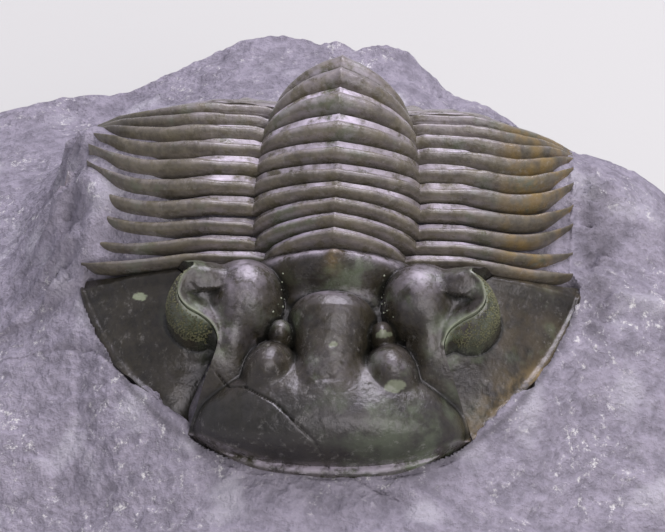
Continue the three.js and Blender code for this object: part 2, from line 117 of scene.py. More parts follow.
# Tail
TAIL_START = HEAD_LENGTH + sum(SEGMENT_LENGTHS)
TAIL_LENGTH, TAIL_HALF, TAIL_RIBS = 21.0, 18.5, 15
TAIL_LOBE_HALF, TAIL_LOBE_LENGTH, TAIL_LOBE_RISE = 5.4, 7.5, 3.6

# Rock
ROCK_FRONT, ROCK_BACK = -15.0, 73.0
ROCK_HALF, ROCK_GROUND, ROCK_LOWEST = (42.0, 40.0), (19.8, 19.0), 10.0
SHOULDER_START, SHOULDER_END = 19.0, (31.0, 43.0)
FOSSIL_EDGE, BED_HALF, LAP, ROCK_FALL = 23.0, 21.0, 1.0, 0.2
BED_DROOP = ((20, 5.3), (23, 5.4), (28.5, 5.2), (31, 4.8), (35.3, 4.1), (41.6, 3.3), (70, 3.3))
CUT_DEPTH, CUT_FROM, CUT_TO = 9.0, 30, 52
ROCK_MIDDLE, ROCK_SPAN = (0.0, 12.0), 40
# Distance from the fossil's outline that the rock's sides and base are given
FAR_OUT = 20.0
# Bulge of the rock's side at shares of its height
ROCK_SIDES = ((0.0, 0.0), (0.3, 1.0), (0.62, 1.6), (1.0, 0.0))
ROCK_CRACKS = (
    ((-28.5, 15.0), (-23.9, 13.5), (-19.8, 12.1), (-18.4, 10.7), (-16.2, 8.7), (-10.9, 4.3)),
    ((0.1, 0.7), (2.0, 0.2), (3.8, -0.5), (5.8, -1.5)),
)
ROCK_CRACK_WIDTH, ROCK_CRACK_DEPTH = 0.14, 0.35
ROCK_RIDGE = ((-23.7, 29.7), (-22.4, 30.1), (-20.1, 25.4), (-21.2, 21.8), (-23.1, 24.7))
RIDGE_WIDTH, RIDGE_RISE = 1.3, 1.4
ROCK_KNOB, KNOB_SPREAD, KNOB_RISE = (-22.3, 35.2), 3.5, 2.6
ROCK_RUST, RUST_SPREAD = (-24.0, 31.6), 0.4
# Shares of the rock's width and length reached at shares of its grid, which is finer round the fossil
ROCK_COLUMNS = ((0, 0), (0.75, 0.54), (1, 1))
ROCK_ROWS = ((0, 0), (0.13, 0.14), (0.53, 0.39), (0.83, 0.68), (1, 1))

# Marks on the head's surface: chips with centre, radius and strength, and the brown stain by the right cheek
CHIPS = ((-16.0, 16.0, 0.55, 1.0), (5.3, 7.0, 0.9, 0.5), (0.2, 10.0, 0.6, 0.4), (4.1, 11.2, 0.5, 0.4))
BROWN_STAIN = ((12.1, 5.2), (13.7, 6.7), (16.9, 9.7))
# Distances from the margin between which the rim loses its shade
RIM_SHADE = (0.75, 1.0)

# Colours that only shade or dust a stone
ROCK_SHADOW, ROCK_DUST = (0.06, 0.055, 0.065), (0.7, 0.68, 0.7)
SHELL_SHADOW, SHELL_DUST, SHELL_SHEEN = (0.014, 0.014, 0.012), (0.4, 0.38, 0.38), (0.84, 0.81, 0.93)

# Camera of the photograph: angle, aim and scale
VIEW_AZIMUTH, VIEW_ELEVATION = math.radians(2.35), math.radians(32.0)
VIEW_DISTANCE, VIEW_AIM = 0.3, Vector((-0.22, -7.0, 28.7)) * MM
PIXELS_PER_MM, FRAME_WIDTH, SENSOR = 12.2, 665, 36.0


# Small maths on arrays

def clamp(value, low, high):
    return np.minimum(np.maximum(value, low), high)


def mix(a, b, t):
    return a + (b - a) * t


def smooth(value, low, high):
    t = clamp((value - low) / (high - low), 0.0, 1.0)
    return t * t * (3 - 2 * t)


def side(x, pair):
    return np.where(x < 0, pair[0], pair[1])


def along(knots, t):
    """Value at t of a line of (t, value) knots"""
    table = np.array(knots, float)
    return np.interp(t, table[:, 0], table[:, 1])


def hill(value, centre, width):
    return np.exp(-(((value - centre) / width) ** 2))


def spot(x, s, centre, spread):
    """A round spot that fades out; spread is its radius squared"""
    return np.exp(-((x - centre[0]) ** 2 + (s - centre[1]) ** 2) / spread)


def oval(x, s, centre, half, power=2):
    """An oval spot that fades out"""
    return np.exp(-(np.abs((x - centre[0]) / half[0]) ** power + ((s - centre[1]) / half[1]) ** 2))


def nearest(path, x, s):
    """Distance from (x, s) to a path of points, and the share along it of the nearest point"""
    x, s = np.broadcast_arrays(np.asarray(x, float), np.asarray(s, float))
    best = np.full(x.shape, 1e9)
    share = np.zeros(x.shape)
    for k, ((ax, a_s), (bx, b_s)) in enumerate(zip(path[:-1], path[1:])):
        dx, ds = bx - ax, b_s - a_s
        t = clamp(((x - ax) * dx + (s - a_s) * ds) / (dx * dx + ds * ds), 0.0, 1.0)
        distance = np.hypot(x - ax - t * dx, s - a_s - t * ds)
        near = distance < best
        best = np.where(near, distance, best)
        share = np.where(near, (k + t) / (len(path) - 1), share)
    return best, share


def line_mark(path, width, x, s):
    """A mark of that width along a path"""
    return hill(nearest(path, x, s)[0], 0, width)


def curve_through(path, share):
    """Points on a smooth curve through the path's points"""
    points = np.array(path, float)
    points = np.concatenate([2 * points[:1] - points[1:2], points, 2 * points[-1:] - points[-2:-1]])
    at = clamp(np.asarray(share, float), 0, 1) * (len(path) - 1)
    k = np.minimum(at.astype(int), len(path) - 2)
    t = (at - k)[..., None]
    p0, p1, p2, p3 = (points[k + i] for i in range(4))
    return 0.5 * (
        2 * p1 + (p2 - p0) * t + (2 * p0 - 5 * p1 + 4 * p2 - p3) * t**2
        + (3 * p1 - p0 - 3 * p2 + p3) * t**3
    )


def unit_step(path, share, reach):
    """Direction of the smooth curve through a path"""
    step = curve_through(path, share + reach) - curve_through(path, share - reach)
    return step / np.maximum(1e-9, np.hypot(step[..., 0], step[..., 1]))[..., None]


# Whole numbers that scramble a lattice corner into a random value
CORNER_PRIMES, SEED_PRIME = (73856093, 19349663, 83492791), 2654435761
SCRAMBLE, WORD, VALUE_BITS = ((15, 2246822519), (13, 3266489917)), 0xFFFFFFFF, 0xFFFFFF


def lattice_noise(x, y, z, seed):
    """Smooth noise from -1 to 1, one cell for each unit"""
    x, y, z = np.broadcast_arrays(*(np.asarray(v, float) for v in (x, y, z)))
    corners = [np.floor(v).astype(np.int64) for v in (x, y, z)]
    shares = [v - c for v, c in zip((x, y, z), corners)]
    shares = [t * t * (3 - 2 * t) for t in shares]
    total = np.zeros(x.shape)
    for bits in product((0, 1), repeat=3):
        key = 0
        for corner, bit, prime in zip(corners, bits, CORNER_PRIMES):
            key = key ^ (corner + bit) * prime
        key = (key + seed * SEED_PRIME) & WORD
        for shift, factor in SCRAMBLE:
            key = ((key ^ (key >> shift)) * factor) & WORD
        value = ((key ^ (key >> 16)) & VALUE_BITS) / VALUE_BITS * 2 - 1
        weight = 1.0
        for t, bit in zip(shares, bits):
            weight = weight * (t if bit else 1 - t)
        total += weight * value
    return total


def layered_noise(points, scale, seed, layers=3):
    """Noise in several sizes, the largest of scale millimetres"""
    total, amount, size = 0.0, 1.0, scale
    for layer in range(layers):
        total = total + amount * lattice_noise(*(points[..., i] / size for i in range(3)), seed + layer)
        amount, size = amount * 0.5, size / 2.1
    return total


def surface_noise(x, s, level, scale, seed):
    """Patchiness over body coordinates; the level picks another cut through the same noise"""
    return layered_noise(np.stack([x, s, np.full_like(x, level)], -1), scale, seed)


# The line of the back as a table of place and slope, with the corners of the slope rounded
ARC_STEP = 0.1
ARC = np.arange(-20, 80 + ARC_STEP / 2, ARC_STEP)


def rounded_slope(slopes, reach):
    return np.radians((along(slopes, ARC - reach) + 2 * along(slopes, ARC) + along(slopes, ARC + reach)) / 4)


def running_total(rate, start):
    total = np.concatenate([[0], np.cumsum((rate[1:] + rate[:-1]) / 2 * ARC_STEP)])
    return total - np.interp(0, ARC, total) + start


BACK_SLOPE = rounded_slope(BACK_SLOPES, BACK_ROUNDING)
BED_SLOPE = rounded_slope(BED_SLOPES, BED_ROUNDING)
BACK_Y = running_total(np.cos(BACK_SLOPE), BACK_START[0])
BACK_Z = running_total(np.sin(BACK_SLOPE), BACK_START[1])


def place(body):
    """Points in millimetres from body coordinates (x, s, h)"""
    x, s, h = (body[..., i] for i in range(3))
    normal = np.where(h > 0, np.interp(s, ARC, BACK_SLOPE), np.interp(s, ARC, BED_SLOPE))
    y = np.interp(s, ARC, BACK_Y) - h * np.sin(normal)
    z = np.interp(s, ARC, BACK_Z) + h * np.cos(normal)
    return np.stack([x, y, z], -1)


# Relief of the head

class Swelling(NamedTuple):
    """An oval swelling: its centre, half-sizes and height, and how it is rounded, squared and leant"""
    x: float
    s: float
    half_width: float
    half_length: float
    height: float
    rounding: float = 0.5
    power: float = 2.0
    lean: float = 0.0


BULB = Swelling(5.0, 8.5, 2.4, 2.7, 4.35, rounding=0.6, lean=-0.12)
KNOB = Swelling(4.1, 11.4, 1.15, 1.4, 3.45)
DOME = Swelling(7.4, 14.3, 3.5, 3.5, 4.7, power=2.2)
DOME_FRONT = Swelling(8.0, 11.8, 1.9, 3.8, 3.7, rounding=0.6)
CHEEK_DOME = Swelling(14.0, 12.0, 7.0, 8.0, 0.2)
EYE_SMOOTH = [tuple(point) for point in curve_through(EYE_PATH, np.linspace(0, 1, 31))]


def swell(x, s, form):
    across = np.abs((x - form.x - form.lean * (s - form.s)) / form.half_width) ** form.power
    length = np.abs((s - form.s) / form.half_length) ** form.power
    return form.height * np.maximum(0, 1 - across - length) ** form.rounding


def smooth_max(a, b, k):
    t = clamp(0.5 + 0.5 * (a - b) / k, 0.0, 1.0)
    return mix(b, a, t) + k * t * (1 - t)


def vault(x):
    return -VAULT * (np.abs(x) / VAULT_HALF) ** VAULT_POWER


def head_front(x):
    """Where the head's margin lies along the back"""
    reach = 1 - (np.abs(x) / side(x, HEAD_HALF)) ** side(x, MARGIN_POWERS)
    return HEAD_FRONT + HEAD_LENGTH * (1 - np.maximum(0, reach) ** MARGIN_ROUNDING)


def frontal_lobe(x, s):
    ahead = s < LOBE_WIDEST
    length = np.abs((s - LOBE_WIDEST) / np.where(ahead, LOBE_AHEAD, LOBE_BEHIND))
    e = np.abs(x / LOBE_HALF) ** 2.1 + length ** np.where(ahead, 2.0, 1.7)
    return LOBE_RISE * np.maximum(0, 1 - e) ** 0.5


def occipital_ring(x, s):
    """Rises gently out of the furrow in front of it to a crest near the back margin"""
    m = np.abs(x)
    across = np.maximum(0, 1 - (m / OCCIPITAL_HALF) ** 1.75) ** 0.8
    rise = 1.7 + 2.5 * smooth(s, 14.6, 17.1) ** 1.3 - 1.2 * smooth(s, 17.1, 18.1)
    pits = oval(m, s, OCCIPITAL_PITS, OCCIPITAL_PIT_HALF)
    return np.maximum(0, across * rise * smooth(s, 13.2, 14.8) - pits)


def middle_lobe(x, s):
    """The column between the bulbs, widening to its flat back end"""
    e = (np.abs(x) / along(COLUMN_HALF, s)) ** 2.4 + np.maximum(0, (s - 11) / 4.0) ** 5
    return along(COLUMN_TOP, s) * np.maximum(0, 1 - e) ** 0.5 * smooth(s, 0.5, 4)


def border(x, s):
    """The rolled rim of the head's margin, with a furrow inside it"""
    margin = s - head_front(x)
    wide = 1 + 1.1 * smooth(np.abs(x), 9, 15)
    rim = 0.14 * hill(margin, 0.3 * wide, 0.32 * wide)
    return rim - 0.1 * hill(margin, 0.9 * wide, 0.25 * wide)


def eye_lid(x, s):
    """The lid rises to its rim along the suture, with a furrow inside the rim"""
    distance, share = nearest(EYE_SMOOTH, np.abs(x), s)
    furrow = 0.35 * hill(distance, 1.25, 0.5) * smooth(share, 0.05, 0.3) * (1 - smooth(share, 0.6, 0.95))
    rim = 0.15 * hill(distance, 0.15, 0.25)
    behind = np.maximum(0, s - 15.3)
    return along(EYE_RIM, share) - vault(x) - 0.13 * distance**2 - furrow + rim - 0.7 * behind**2


def head_relief(x, s):
    """Height of the middle part of the head"""
    m = np.abs(x)
    h = smooth_max(frontal_lobe(x, s), middle_lobe(x, s), 0.8)
    h = smooth_max(h, swell(m, s, BULB), 0.8)
    h = smooth_max(h, swell(m, s, KNOB), 0.6)
    h = smooth_max(h, occipital_ring(x, s), 0.5)
    cheek = smooth_max(swell(m, s, DOME), swell(m, s, DOME_FRONT), 1.2)
    h = smooth_max(h, smooth_max(cheek, np.where(m > 6, eye_lid(x, s), 0), 0.7), 0.3)
    back_border = 0.5 * hill(s, 17.5, 0.45) - 0.3 * hill(s, 16.8, 0.3)
    h = h + back_border * smooth(m, 9.8, 11) + border(x, s)
    h = h + 0.55 * spot(x, s, OCCIPITAL_NODE, 0.35) - 0.7 * spot(m, s, SUTURE[0], 0.5)
    for centre in NECK_SCARS:
        h = h - SCAR_DEPTH * oval(x, s, centre, SCAR_HALF)
    for path in HEAD_CRACKS:
        h = h - CRACK_DEPTH * line_mark(path, CRACK_WIDTH, x, s)
    return h + vault(x)


def cheek_relief(x, s):
    """The eye's lens surface bulges out under the rim, and the cheek falls away from it"""
    m = np.abs(x)
    distance, share = nearest(EYE_SMOOTH, m, s)
    eye = along(EYE_RIM, share) - EYE_UNDER_RIM - vault(x)
    bulge = eye * np.maximum(0, 1 - (distance / along(EYE_WIDTH, share)) ** 2) ** 0.5
    back_border = 0.5 * hill(s, 17.6, 0.6)
    return smooth_max(swell(m, s, CHEEK_DOME), bulge, 0.3) + back_border + border(x, s) + vault(x)


# The run of the thorax

def outward(x):
    """Share of the way from the bend of the ribs to their tips"""
    return clamp((np.abs(x) - FULCRUM) / (side(x, REACH) - FULCRUM), 0.0, 1.1)


def roll(x, s):
    """Behind the head the body lies a little lower on the right"""
    return -ROLL * x * smooth(s, HEAD_LENGTH, HEAD_LENGTH + ROLL_LENGTH)


def middle_of(i):
    return HEAD_LENGTH + sum(SEGMENT_LENGTHS[:i]) + SEGMENT_LENGTHS[i] / 2


# Making meshes

# Points of a grown piece closer than this, in millimetres, are one
MERGE_DISTANCE = 1e-5


def grid_faces(rows, columns):
    """The four-sided faces of a grid of points"""
    r, c = np.meshgrid(np.arange(rows - 1), np.arange(columns - 1), indexing="ij")
    a = (r * columns + c).ravel()
    return np.stack([a, a + 1, a + columns + 1, a + columns], 1)


def grid_edge(rows, columns):
    """Indices of the grid's edge, once round, with the grid on the left"""
    front = np.arange(columns)
    right = np.arange(1, rows) * columns + columns - 1
    back = (rows - 1) * columns + np.arange(columns - 2, -1, -1)
    left = np.arange(rows - 2, 0, -1) * columns
    return np.concatenate([front, right, back, left])


def mesh_of(name, body, faces, points=None):
    """A mesh from body coordinates, or from points in millimetres where they are given"""
    points = place(body) if points is None else points
    mesh = bpy.data.meshes.new(name)
    mesh.vertices.add(len(points))
    mesh.vertices.foreach_set("co", (points * MM).astype(np.float32).ravel())
    starts, loops = [], []
    total = 0
    for block in faces:
        block = np.asarray(block)
        starts.append(total + np.arange(len(block)) * block.shape[1])
        loops.append(block.ravel())
        total += block.size
    loops, starts = np.concatenate(loops), np.concatenate(starts)
    mesh.loops.add(len(loops))
    mesh.loops.foreach_set("vertex_index", loops.astype(np.int32))
    mesh.polygons.add(len(starts))
    mesh.polygons.foreach_set("loop_start", starts.astype(np.int32))
    mesh.update(calc_edges=True)
    mesh.validate()
    return mesh


def plate_mesh(name, rows, bed_level, hub):
    """A plate with a fine top, a straight edge down to its bed, and a fan below it"""
    row_count, columns = rows.shape[:2]
    top = rows.reshape(-1, 3)
    edge = grid_edge(row_count, columns)
    lower = top[edge].copy()
    lower[:, 2] = bed_level(lower[:, 0])
    centre = np.array([[*hub, bed_level(np.float64(hub[0]))]])
    low = len(top) + np.arange(len(edge))
    following = np.roll(np.arange(len(edge)), -1)
    walls = np.stack([edge, low, low[following], edge[following]], 1)
    fan = np.stack([np.full(len(edge), len(top) + len(edge)), low[following], low], 1)
    body = np.concatenate([top, lower, centre])
    return mesh_of(name, body, [grid_faces(row_count, columns), walls, fan]), body


def bed_under_head(x):
    return vault(x) - SHELL_DEPTH


def suture_at(v, offset):
    """Points of the facial suture, set off to its outer side"""
    step = unit_step(SUTURE, v, 0.004)
    return curve_through(SUTURE, v) + np.stack([offset * step[..., 1], -offset * step[..., 0]], -1)


# Numbers in a node tree: arithmetic on them adds Math nodes

def math_node(operation, swapped=False):
    """A method that adds a Math node of that operation"""
    def method(self, *others):
        return self.apply(operation, *((*others, self) if swapped else (self, *others)))
    return method


class NodeNumber:
    """A number that a node puts out"""

    def __init__(self, tree, socket):
        self.tree, self.socket = tree, socket

    def apply(self, operation, *values):
        node = self.tree.nodes.new("ShaderNodeMath")
        node.operation = operation
        for slot, value in zip(node.inputs, values):
            if isinstance(value, NodeNumber):
                self.tree.links.new(value.socket, slot)
            else:
                slot.default_value = value
        return NodeNumber(self.tree, node.outputs[0])

    __add__, __radd__ = math_node("ADD"), math_node("ADD", True)
    __sub__, __rsub__ = math_node("SUBTRACT"), math_node("SUBTRACT", True)
    __mul__, __rmul__ = math_node("MULTIPLY"), math_node("MULTIPLY", True)
    __truediv__, __rtruediv__ = math_node("DIVIDE"), math_node("DIVIDE", True)
    __pow__ = math_node("POWER")
    below, at_least, at_most = math_node("LESS_THAN"), math_node("MAXIMUM"), math_node("MINIMUM")
    absolute, sign, fraction = math_node("ABSOLUTE"), math_node("SIGN"), math_node("FRACT")
    sine, cosine, exponent = math_node("SINE"), math_node("COSINE"), math_node("EXPONENT")

    def smooth(self, low, high):
        t = ((self - low) / (high - low)).at_least(0.0).at_most(1.0)
        return t * t * (3.0 - 2.0 * t)


def choose(condition, if_true, if_false):
    """One of two node numbers; a condition between 0 and 1 blends them"""
    return condition * (if_true - if_false) + if_false


def geometry_tree(name, inputs):
    """A Geometry Nodes tree with its named inputs, whole-number inputs where their defaults are whole numbers, and a
    material
    """
    tree = bpy.data.node_groups.new(name, "GeometryNodeTree")
    tree.interface.new_socket("Geometry", in_out="INPUT", socket_type="NodeSocketGeometry")
    for label, default in inputs.items():
        kind = "NodeSocketInt" if isinstance(default, int) else "NodeSocketFloat"
        tree.interface.new_socket(label, in_out="INPUT", socket_type=kind).default_value = default
    tree.interface.new_socket("Material", in_out="INPUT", socket_type="NodeSocketMaterial")
    tree.interface.new_socket("Geometry", in_out="OUTPUT", socket_type="NodeSocketGeometry")
    return tree, tree.nodes.new("NodeGroupInput").outputs


def linked(tree, kind, **sources):
    """A new node, each input linked to its source"""
    node = tree.nodes.new(kind)
    for key, source in sources.items():
        tree.links.new(source, node.inputs[key.replace("_", " ")])
    return node


def end_tree(tree, geometry, material):
    """Ends a tree: makes its copies real and gives them their material"""
    realized = linked(tree, "GeometryNodeRealizeInstances", Geometry=geometry)
    dressed = linked(tree, "GeometryNodeSetMaterial", Geometry=realized.outputs["Geometry"], Material=material)
    linked(tree, "NodeGroupOutput", Geometry=dressed.outputs["Geometry"])
    return tree


class Tree:
    """A Geometry Nodes tree that bends a closed tube into one piece; the tube's length gives the stations
    of the piece, and the way round it is the section there"""

    def __init__(self, name, around, stations, inputs):
        self.tree, self.given = geometry_tree(name, inputs)
        self.tube = self.tree.nodes.new("GeometryNodeMeshCylinder")
        self.tube.inputs["Vertices"].default_value = around
        self.tube.inputs["Side Segments"].default_value = stations
        self.tube.inputs["Radius"].default_value = 1.0
        self.tube.inputs["Depth"].default_value = 2.0
        position = self.tree.nodes.new("GeometryNodeInputPosition")
        parts = self.tree.nodes.new("ShaderNodeSeparateXYZ")
        self.tree.links.new(position.outputs[0], parts.inputs[0])
        across, up, self.station = (NodeNumber(self.tree, parts.outputs[i]) for i in range(3))
        turn = across.apply("ARCTAN2", up, across) / (2 * math.pi)
        self.phase = (turn + (1.0 + 0.25 / around)).fraction() - 0.25 / around

    def number(self, label):
        return NodeNumber(self.tree, self.given[label])

    def finish(self, x, s, h, relief):
        """Puts the points in body coordinates, and keeps the relief for the finish"""
        keep = linked(self.tree, "GeometryNodeStoreNamedAttribute", Geometry=self.tube.outputs["Mesh"],
                      Value=relief.socket)
        keep.inputs["Name"].default_value = "relief"
        where = linked(self.tree, "ShaderNodeCombineXYZ", X=x.socket, Y=s.socket, Z=h.socket)
        shape = linked(self.tree, "GeometryNodeSetPosition", Geometry=keep.outputs["Geometry"],
                       Position=where.outputs[0])
        merge = linked(self.tree, "GeometryNodeMergeByDistance", Geometry=shape.outputs["Geometry"])
        merge.inputs["Distance"].default_value = MERGE_DISTANCE
        return end_tree(self.tree, merge.outputs["Geometry"], self.given["Material"])


def grown_mesh(tree, values, base=None):
    """The plain mesh that a tree makes with these inputs"""
    carrier = bpy.data.objects.new("carrier", base or bpy.data.meshes.new("carrier"))
    bpy.context.scene.collection.objects.link(carrier)
    modifier = carrier.modifiers.new("grow", "NODES")
    modifier.node_group = tree
    for item in tree.interface.items_tree:
        if item.item_type == "SOCKET" and item.in_out == "INPUT" and item.name in values:
            modifier[item.identifier] = values[item.name]
    carrier.update_tag()
    depsgraph = bpy.context.evaluated_depsgraph_get()
    depsgraph.update()
    mesh = bpy.data.meshes.new_from_object(carrier.evaluated_get(depsgraph))
    carrier.modifiers.remove(modifier)
    bpy.data.objects.remove(carrier)
    if not mesh.vertices:
        raise RuntimeError(tree.name + " made no geometry")
    return mesh


def coordinates(mesh):
    """Points of a mesh as an array"""
    values = np.empty(len(mesh.vertices) * 3, np.float32)
    mesh.vertices.foreach_get("co", values)
    return values.reshape(-1, 3).astype(float)


# Sections across a plate, as a foot and a rod on it: level of the foot, height, middle, half-width, and the
# power and rounding of its outline
RING_SECTION = (-0.3, 0.78, 0.32, 0.31, 2.0, 0.6)
INNER_RIB_SECTION = (-0.28, 0.68, 0.32, 0.3, 2.0, 0.7)
OUTER_RIB_SECTION = (-0.42, 1.05, 0.42, 0.4, 2.2, 0.5)
OUTER_RIB_FROM, OUTER_RIB_FULL = 9.0, 12.5
AXIS_FURROW, AXIS_FURROW_WIDTH = 0.25, 0.5
# Shares of the stations that lie on the ring, and of the tube's way round that lie on the upper face
RING_STATIONS, RIB_UPPER, TAIL_UPPER = 0.46, 0.78, 0.8
RIB_AROUND, TAIL_AROUND, STATIONS = 56, 120, 300


def rod(t, foot, height, middle, half, power, rounding):
    """Height of a section at share t of the way across the plate"""
    outline = (1.0 - ((t - middle) / half).absolute() ** power).at_least(0.0)
    return foot + height * outline ** rounding


def rib_tree():
    """One thorax segment: its stations run from the left rib tip over the ring to the right one"""
    tree = Tree("thorax_segment", RIB_AROUND, STATIONS, {
        "Length": 1.8, "Middle": 20.0, "Ring half-width": 6.5, "Ring rise": 4.0, "Flank lift": 0.0,
        "Tip sweep": 5.0, "Tip droop": 4.5, "Reach left": REACH[0], "Reach right": REACH[1],
    })
    u, phase = tree.station, tree.phase
    length, middle, half = tree.number("Length"), tree.number("Middle"), tree.number("Ring half-width")
    reach = choose(u.below(0.0), tree.number("Reach left"), tree.number("Reach right"))
    on_ring = u.absolute().below(RING_STATIONS)
    ring_x = half * (u * (math.pi / 2 / RING_STATIONS)).sine()
    flank_share = (u.absolute() - RING_STATIONS) / (1 - RING_STATIONS)
    x = choose(on_ring, ring_x, u.sign() * (half + (reach - half) * flank_share))
    m = x.absolute()
    out = ((m - FULCRUM) / (reach - FULCRUM)).at_least(0.0)
    r = (m / half).at_most(1.0)
    arch = (1 - CREST) * (1.0 - r**ARCH_POWER).at_least(0.0) ** ARCH_ROUNDING
    arch = arch + CREST * (r * (-1 / CREST_WIDTH)).exponent()
    rolled = -ROLL * x * middle.smooth(HEAD_LENGTH, HEAD_LENGTH + ROLL_LENGTH)
    ground = tree.number("Flank lift") - tree.number("Tip droop") * out**DROOP_POWER + rolled
    rise = tree.number("Ring rise") * arch * m.below(half) + ground
    furrow = -AXIS_FURROW * (-1.0 * ((m - half) / AXIS_FURROW_WIDTH) ** 2).exponent()
    taper = ((1.0 - out) / TIP_SHARE).at_least(TIP_WIDTH).at_most(1.0) ** 0.6
    upper = phase.below(RIB_UPPER)
    t = choose(upper, phase / RIB_UPPER, 1.0 - (phase - RIB_UPPER) / (1 - RIB_UPPER))
    outer_share = m.smooth(OUTER_RIB_FROM, OUTER_RIB_FULL)
    rib = choose(outer_share, rod(t, *OUTER_RIB_SECTION), rod(t, *INNER_RIB_SECTION))
    section = choose(m.below(half), rod(t, *RING_SECTION), rib)
    high = rise + furrow + section * (TIP_HEIGHT + (1 - TIP_HEIGHT) * taper)
    h = choose(upper, high, ground - SHELL_DEPTH)
    end = 0.5 - 0.5 * SEAM / length
    s = middle + tree.number("Tip sweep") * out**3.0 + (2.0 * t - 1.0) * end * length * taper
    return tree.finish(x, s, h, section)


def tail_tree():
    """The tail shield: its stations fan from the left edge round the back to the right edge"""
    tree = Tree("tail_fan", TAIL_AROUND, STATIONS, {
        "Start": TAIL_START + SEAM, "Length": TAIL_LENGTH, "Half-width": TAIL_HALF,
        "Rib count": float(TAIL_RIBS), "Rib height": 0.3, "Tip sweep": TIP_SWEEP[9],
    })
    turn = (tree.station + 1.0) * (math.pi / 2)
    upper = tree.phase.below(TAIL_UPPER)
    share = choose(upper, tree.phase / TAIL_UPPER, 1.0 - (tree.phase - TAIL_UPPER) / (1 - TAIL_UPPER))
    x = -1.0 * tree.number("Half-width") * share * turn.cosine()
    m = x.absolute()
    reach = choose(x.below(0.0), REACH[0], REACH[1])
    out = ((m - FULCRUM) / (reach - FULCRUM)).at_least(0.0)
    inner_out = ((m * 0.97 - FULCRUM) / (reach - FULCRUM)).at_least(0.0)
    start, length = tree.number("Start"), tree.number("Length")
    s = start + tree.number("Tip sweep") * out**3.0 * (1.0 - turn.sine()) + length * share * turn.sine()
    lobe_e = (m / TAIL_LOBE_HALF) ** 2.0 + ((s - TAIL_START).absolute() / TAIL_LOBE_LENGTH) ** 2.0
    lobe = TAIL_LOBE_RISE * (1.0 - lobe_e).at_least(0.0) ** 0.6
    rib = tree.number("Rib height") * (2.0 * tree.number("Rib count") * turn).cosine() * share.smooth(0.25, 0.5)
    level = FLANK_LIFT[9] - TIP_DROOP[9] * inner_out**DROOP_POWER - ROLL * x
    h = choose(upper, lobe + rib + level, level - SHELL_DEPTH)
    return tree.finish(x, s, h, rib)


# Masks: shares of each tint, painted shade and painted sheen on the surface, from body coordinates

def clamped(masks):
    return {name: clamp(value, 0, 1) for name, value in masks.items()}


def shell_patches(x, s):
    """Large and small patches of the shell"""
    return surface_noise(x, s, 3, 4.0, 11), surface_noise(x, s, 9, 1.2, 23)


def brown_side(x, s, patches):
    """The right ribs are stained yellow-brown towards their tips"""
    return smooth(x, 12.5, 15) * smooth(s, 17, 20) * smooth(patches, -0.7, 0.5)


def rib_masks(body):
    """Masks of the thorax and tail"""
    x, s = body[..., 0], body[..., 1]
    cloud, fine = shell_patches(x, s)
    # Patches of lilac, thinner on the outer ribs; the material lays them mostly on upward faces as painted sheen
    film_and_sheen = 0.5 + 0.5 * smooth(cloud + 0.6 * fine, -0.6, 0.7)
    return clamped({
        "film_and_sheen": film_and_sheen * mix(1.0, 0.55, smooth(np.abs(x), 11, 14)),
        "ochre": brown_side(x, s, fine + cloud),
        "green": smooth(cloud + fine, 0.0, 1.0) * 0.7,
        "rib": np.ones_like(x),
    })


def head_masks(body):
    """Masks of the head"""
    x, s = body[..., 0], body[..., 1]
    m = np.abs(x)
    cloud, fine = shell_patches(x, s)
    from_margin = s - head_front(x)
    lens = nearest(EYE_SMOOTH, m, s)[0]

    # Patches behind the frontal lobe, painted highlights on the occipital crest, the tops of the domes and the back
    # end of the middle lobe, and a pale band along the front rim
    behind_lobe = smooth(s, 6.5, 8.5) * (1 - smooth(m, 12, 14))
    film_and_sheen = 0.05 + 0.2 * smooth(cloud + 0.6 * fine, 0.0, 1.0) * behind_lobe
    film_and_sheen = film_and_sheen + 0.6 * oval(x, s, (0, 17.4), (5.2, 0.45), power=4)
    film_and_sheen = film_and_sheen + 0.3 * oval(m, s, (6.8, 15.6), (1.8, 1.3)) + 0.3 * oval(x, s, (0, 14.4), (2.2, 0.6))
    film_and_sheen = np.maximum(film_and_sheen, 0.6 * smooth(0.95 - from_margin, 0, 0.3) * (1 - smooth(m, 10.5, 12)))

    green = smooth(cloud + fine, 0.0, 1.0) * 0.7 * smooth(x, -8, -2)
    green = green + 0.3 * smooth(x, -3, 4) * (1 - smooth(s, 6, 8))
    green = green + 0.8 * oval(x, s, (4, 3.2), (3.6, 2.0)) + 0.8 * oval(x, s, (0, 15.7), (3.2, 0.8))
    green = np.maximum(green, smooth(lens, 2.2, 0.6))

    ochre = brown_side(x, s, fine + cloud) + 0.15 * smooth(x, 12, 14) * (1 - smooth(s, 14, 17))
    ochre = ochre + 0.9 * line_mark(BROWN_STAIN, 1.3, x, s) + 0.8 * spot(x, s, (0.1, 16.7), 0.35)

    grit = surface_noise(x, s, 5, 0.6, 29)
    # A painted highlight line along the eye rims, and pale chips at the listed spots
    chip_and_rim_highlight = 0.5 * hill(lens, 0, 0.16)
    for cx, cs, radius, share in CHIPS:
        chip_and_rim_highlight = chip_and_rim_highlight + share * smooth(np.hypot(x - cx, 1.7 * (s - cs)) + 0.5 * grit, radius, 0.7 * radius)

    # Painted shade on the cheeks and on the frontal lobe, heavier on its left side; it fades out over the rim
    dark = 0.3 * smooth(m, 12, 14) + (0.45 + 0.35 * smooth(-x, -4, 4)) * (1 - smooth(s, 5, 8))
    dark = dark * smooth(from_margin, *RIM_SHADE)
    return clamped({"film_and_sheen": film_and_sheen, "ochre": ochre, "green": green, "dark": dark, "chip_and_rim_highlight": chip_and_rim_highlight})


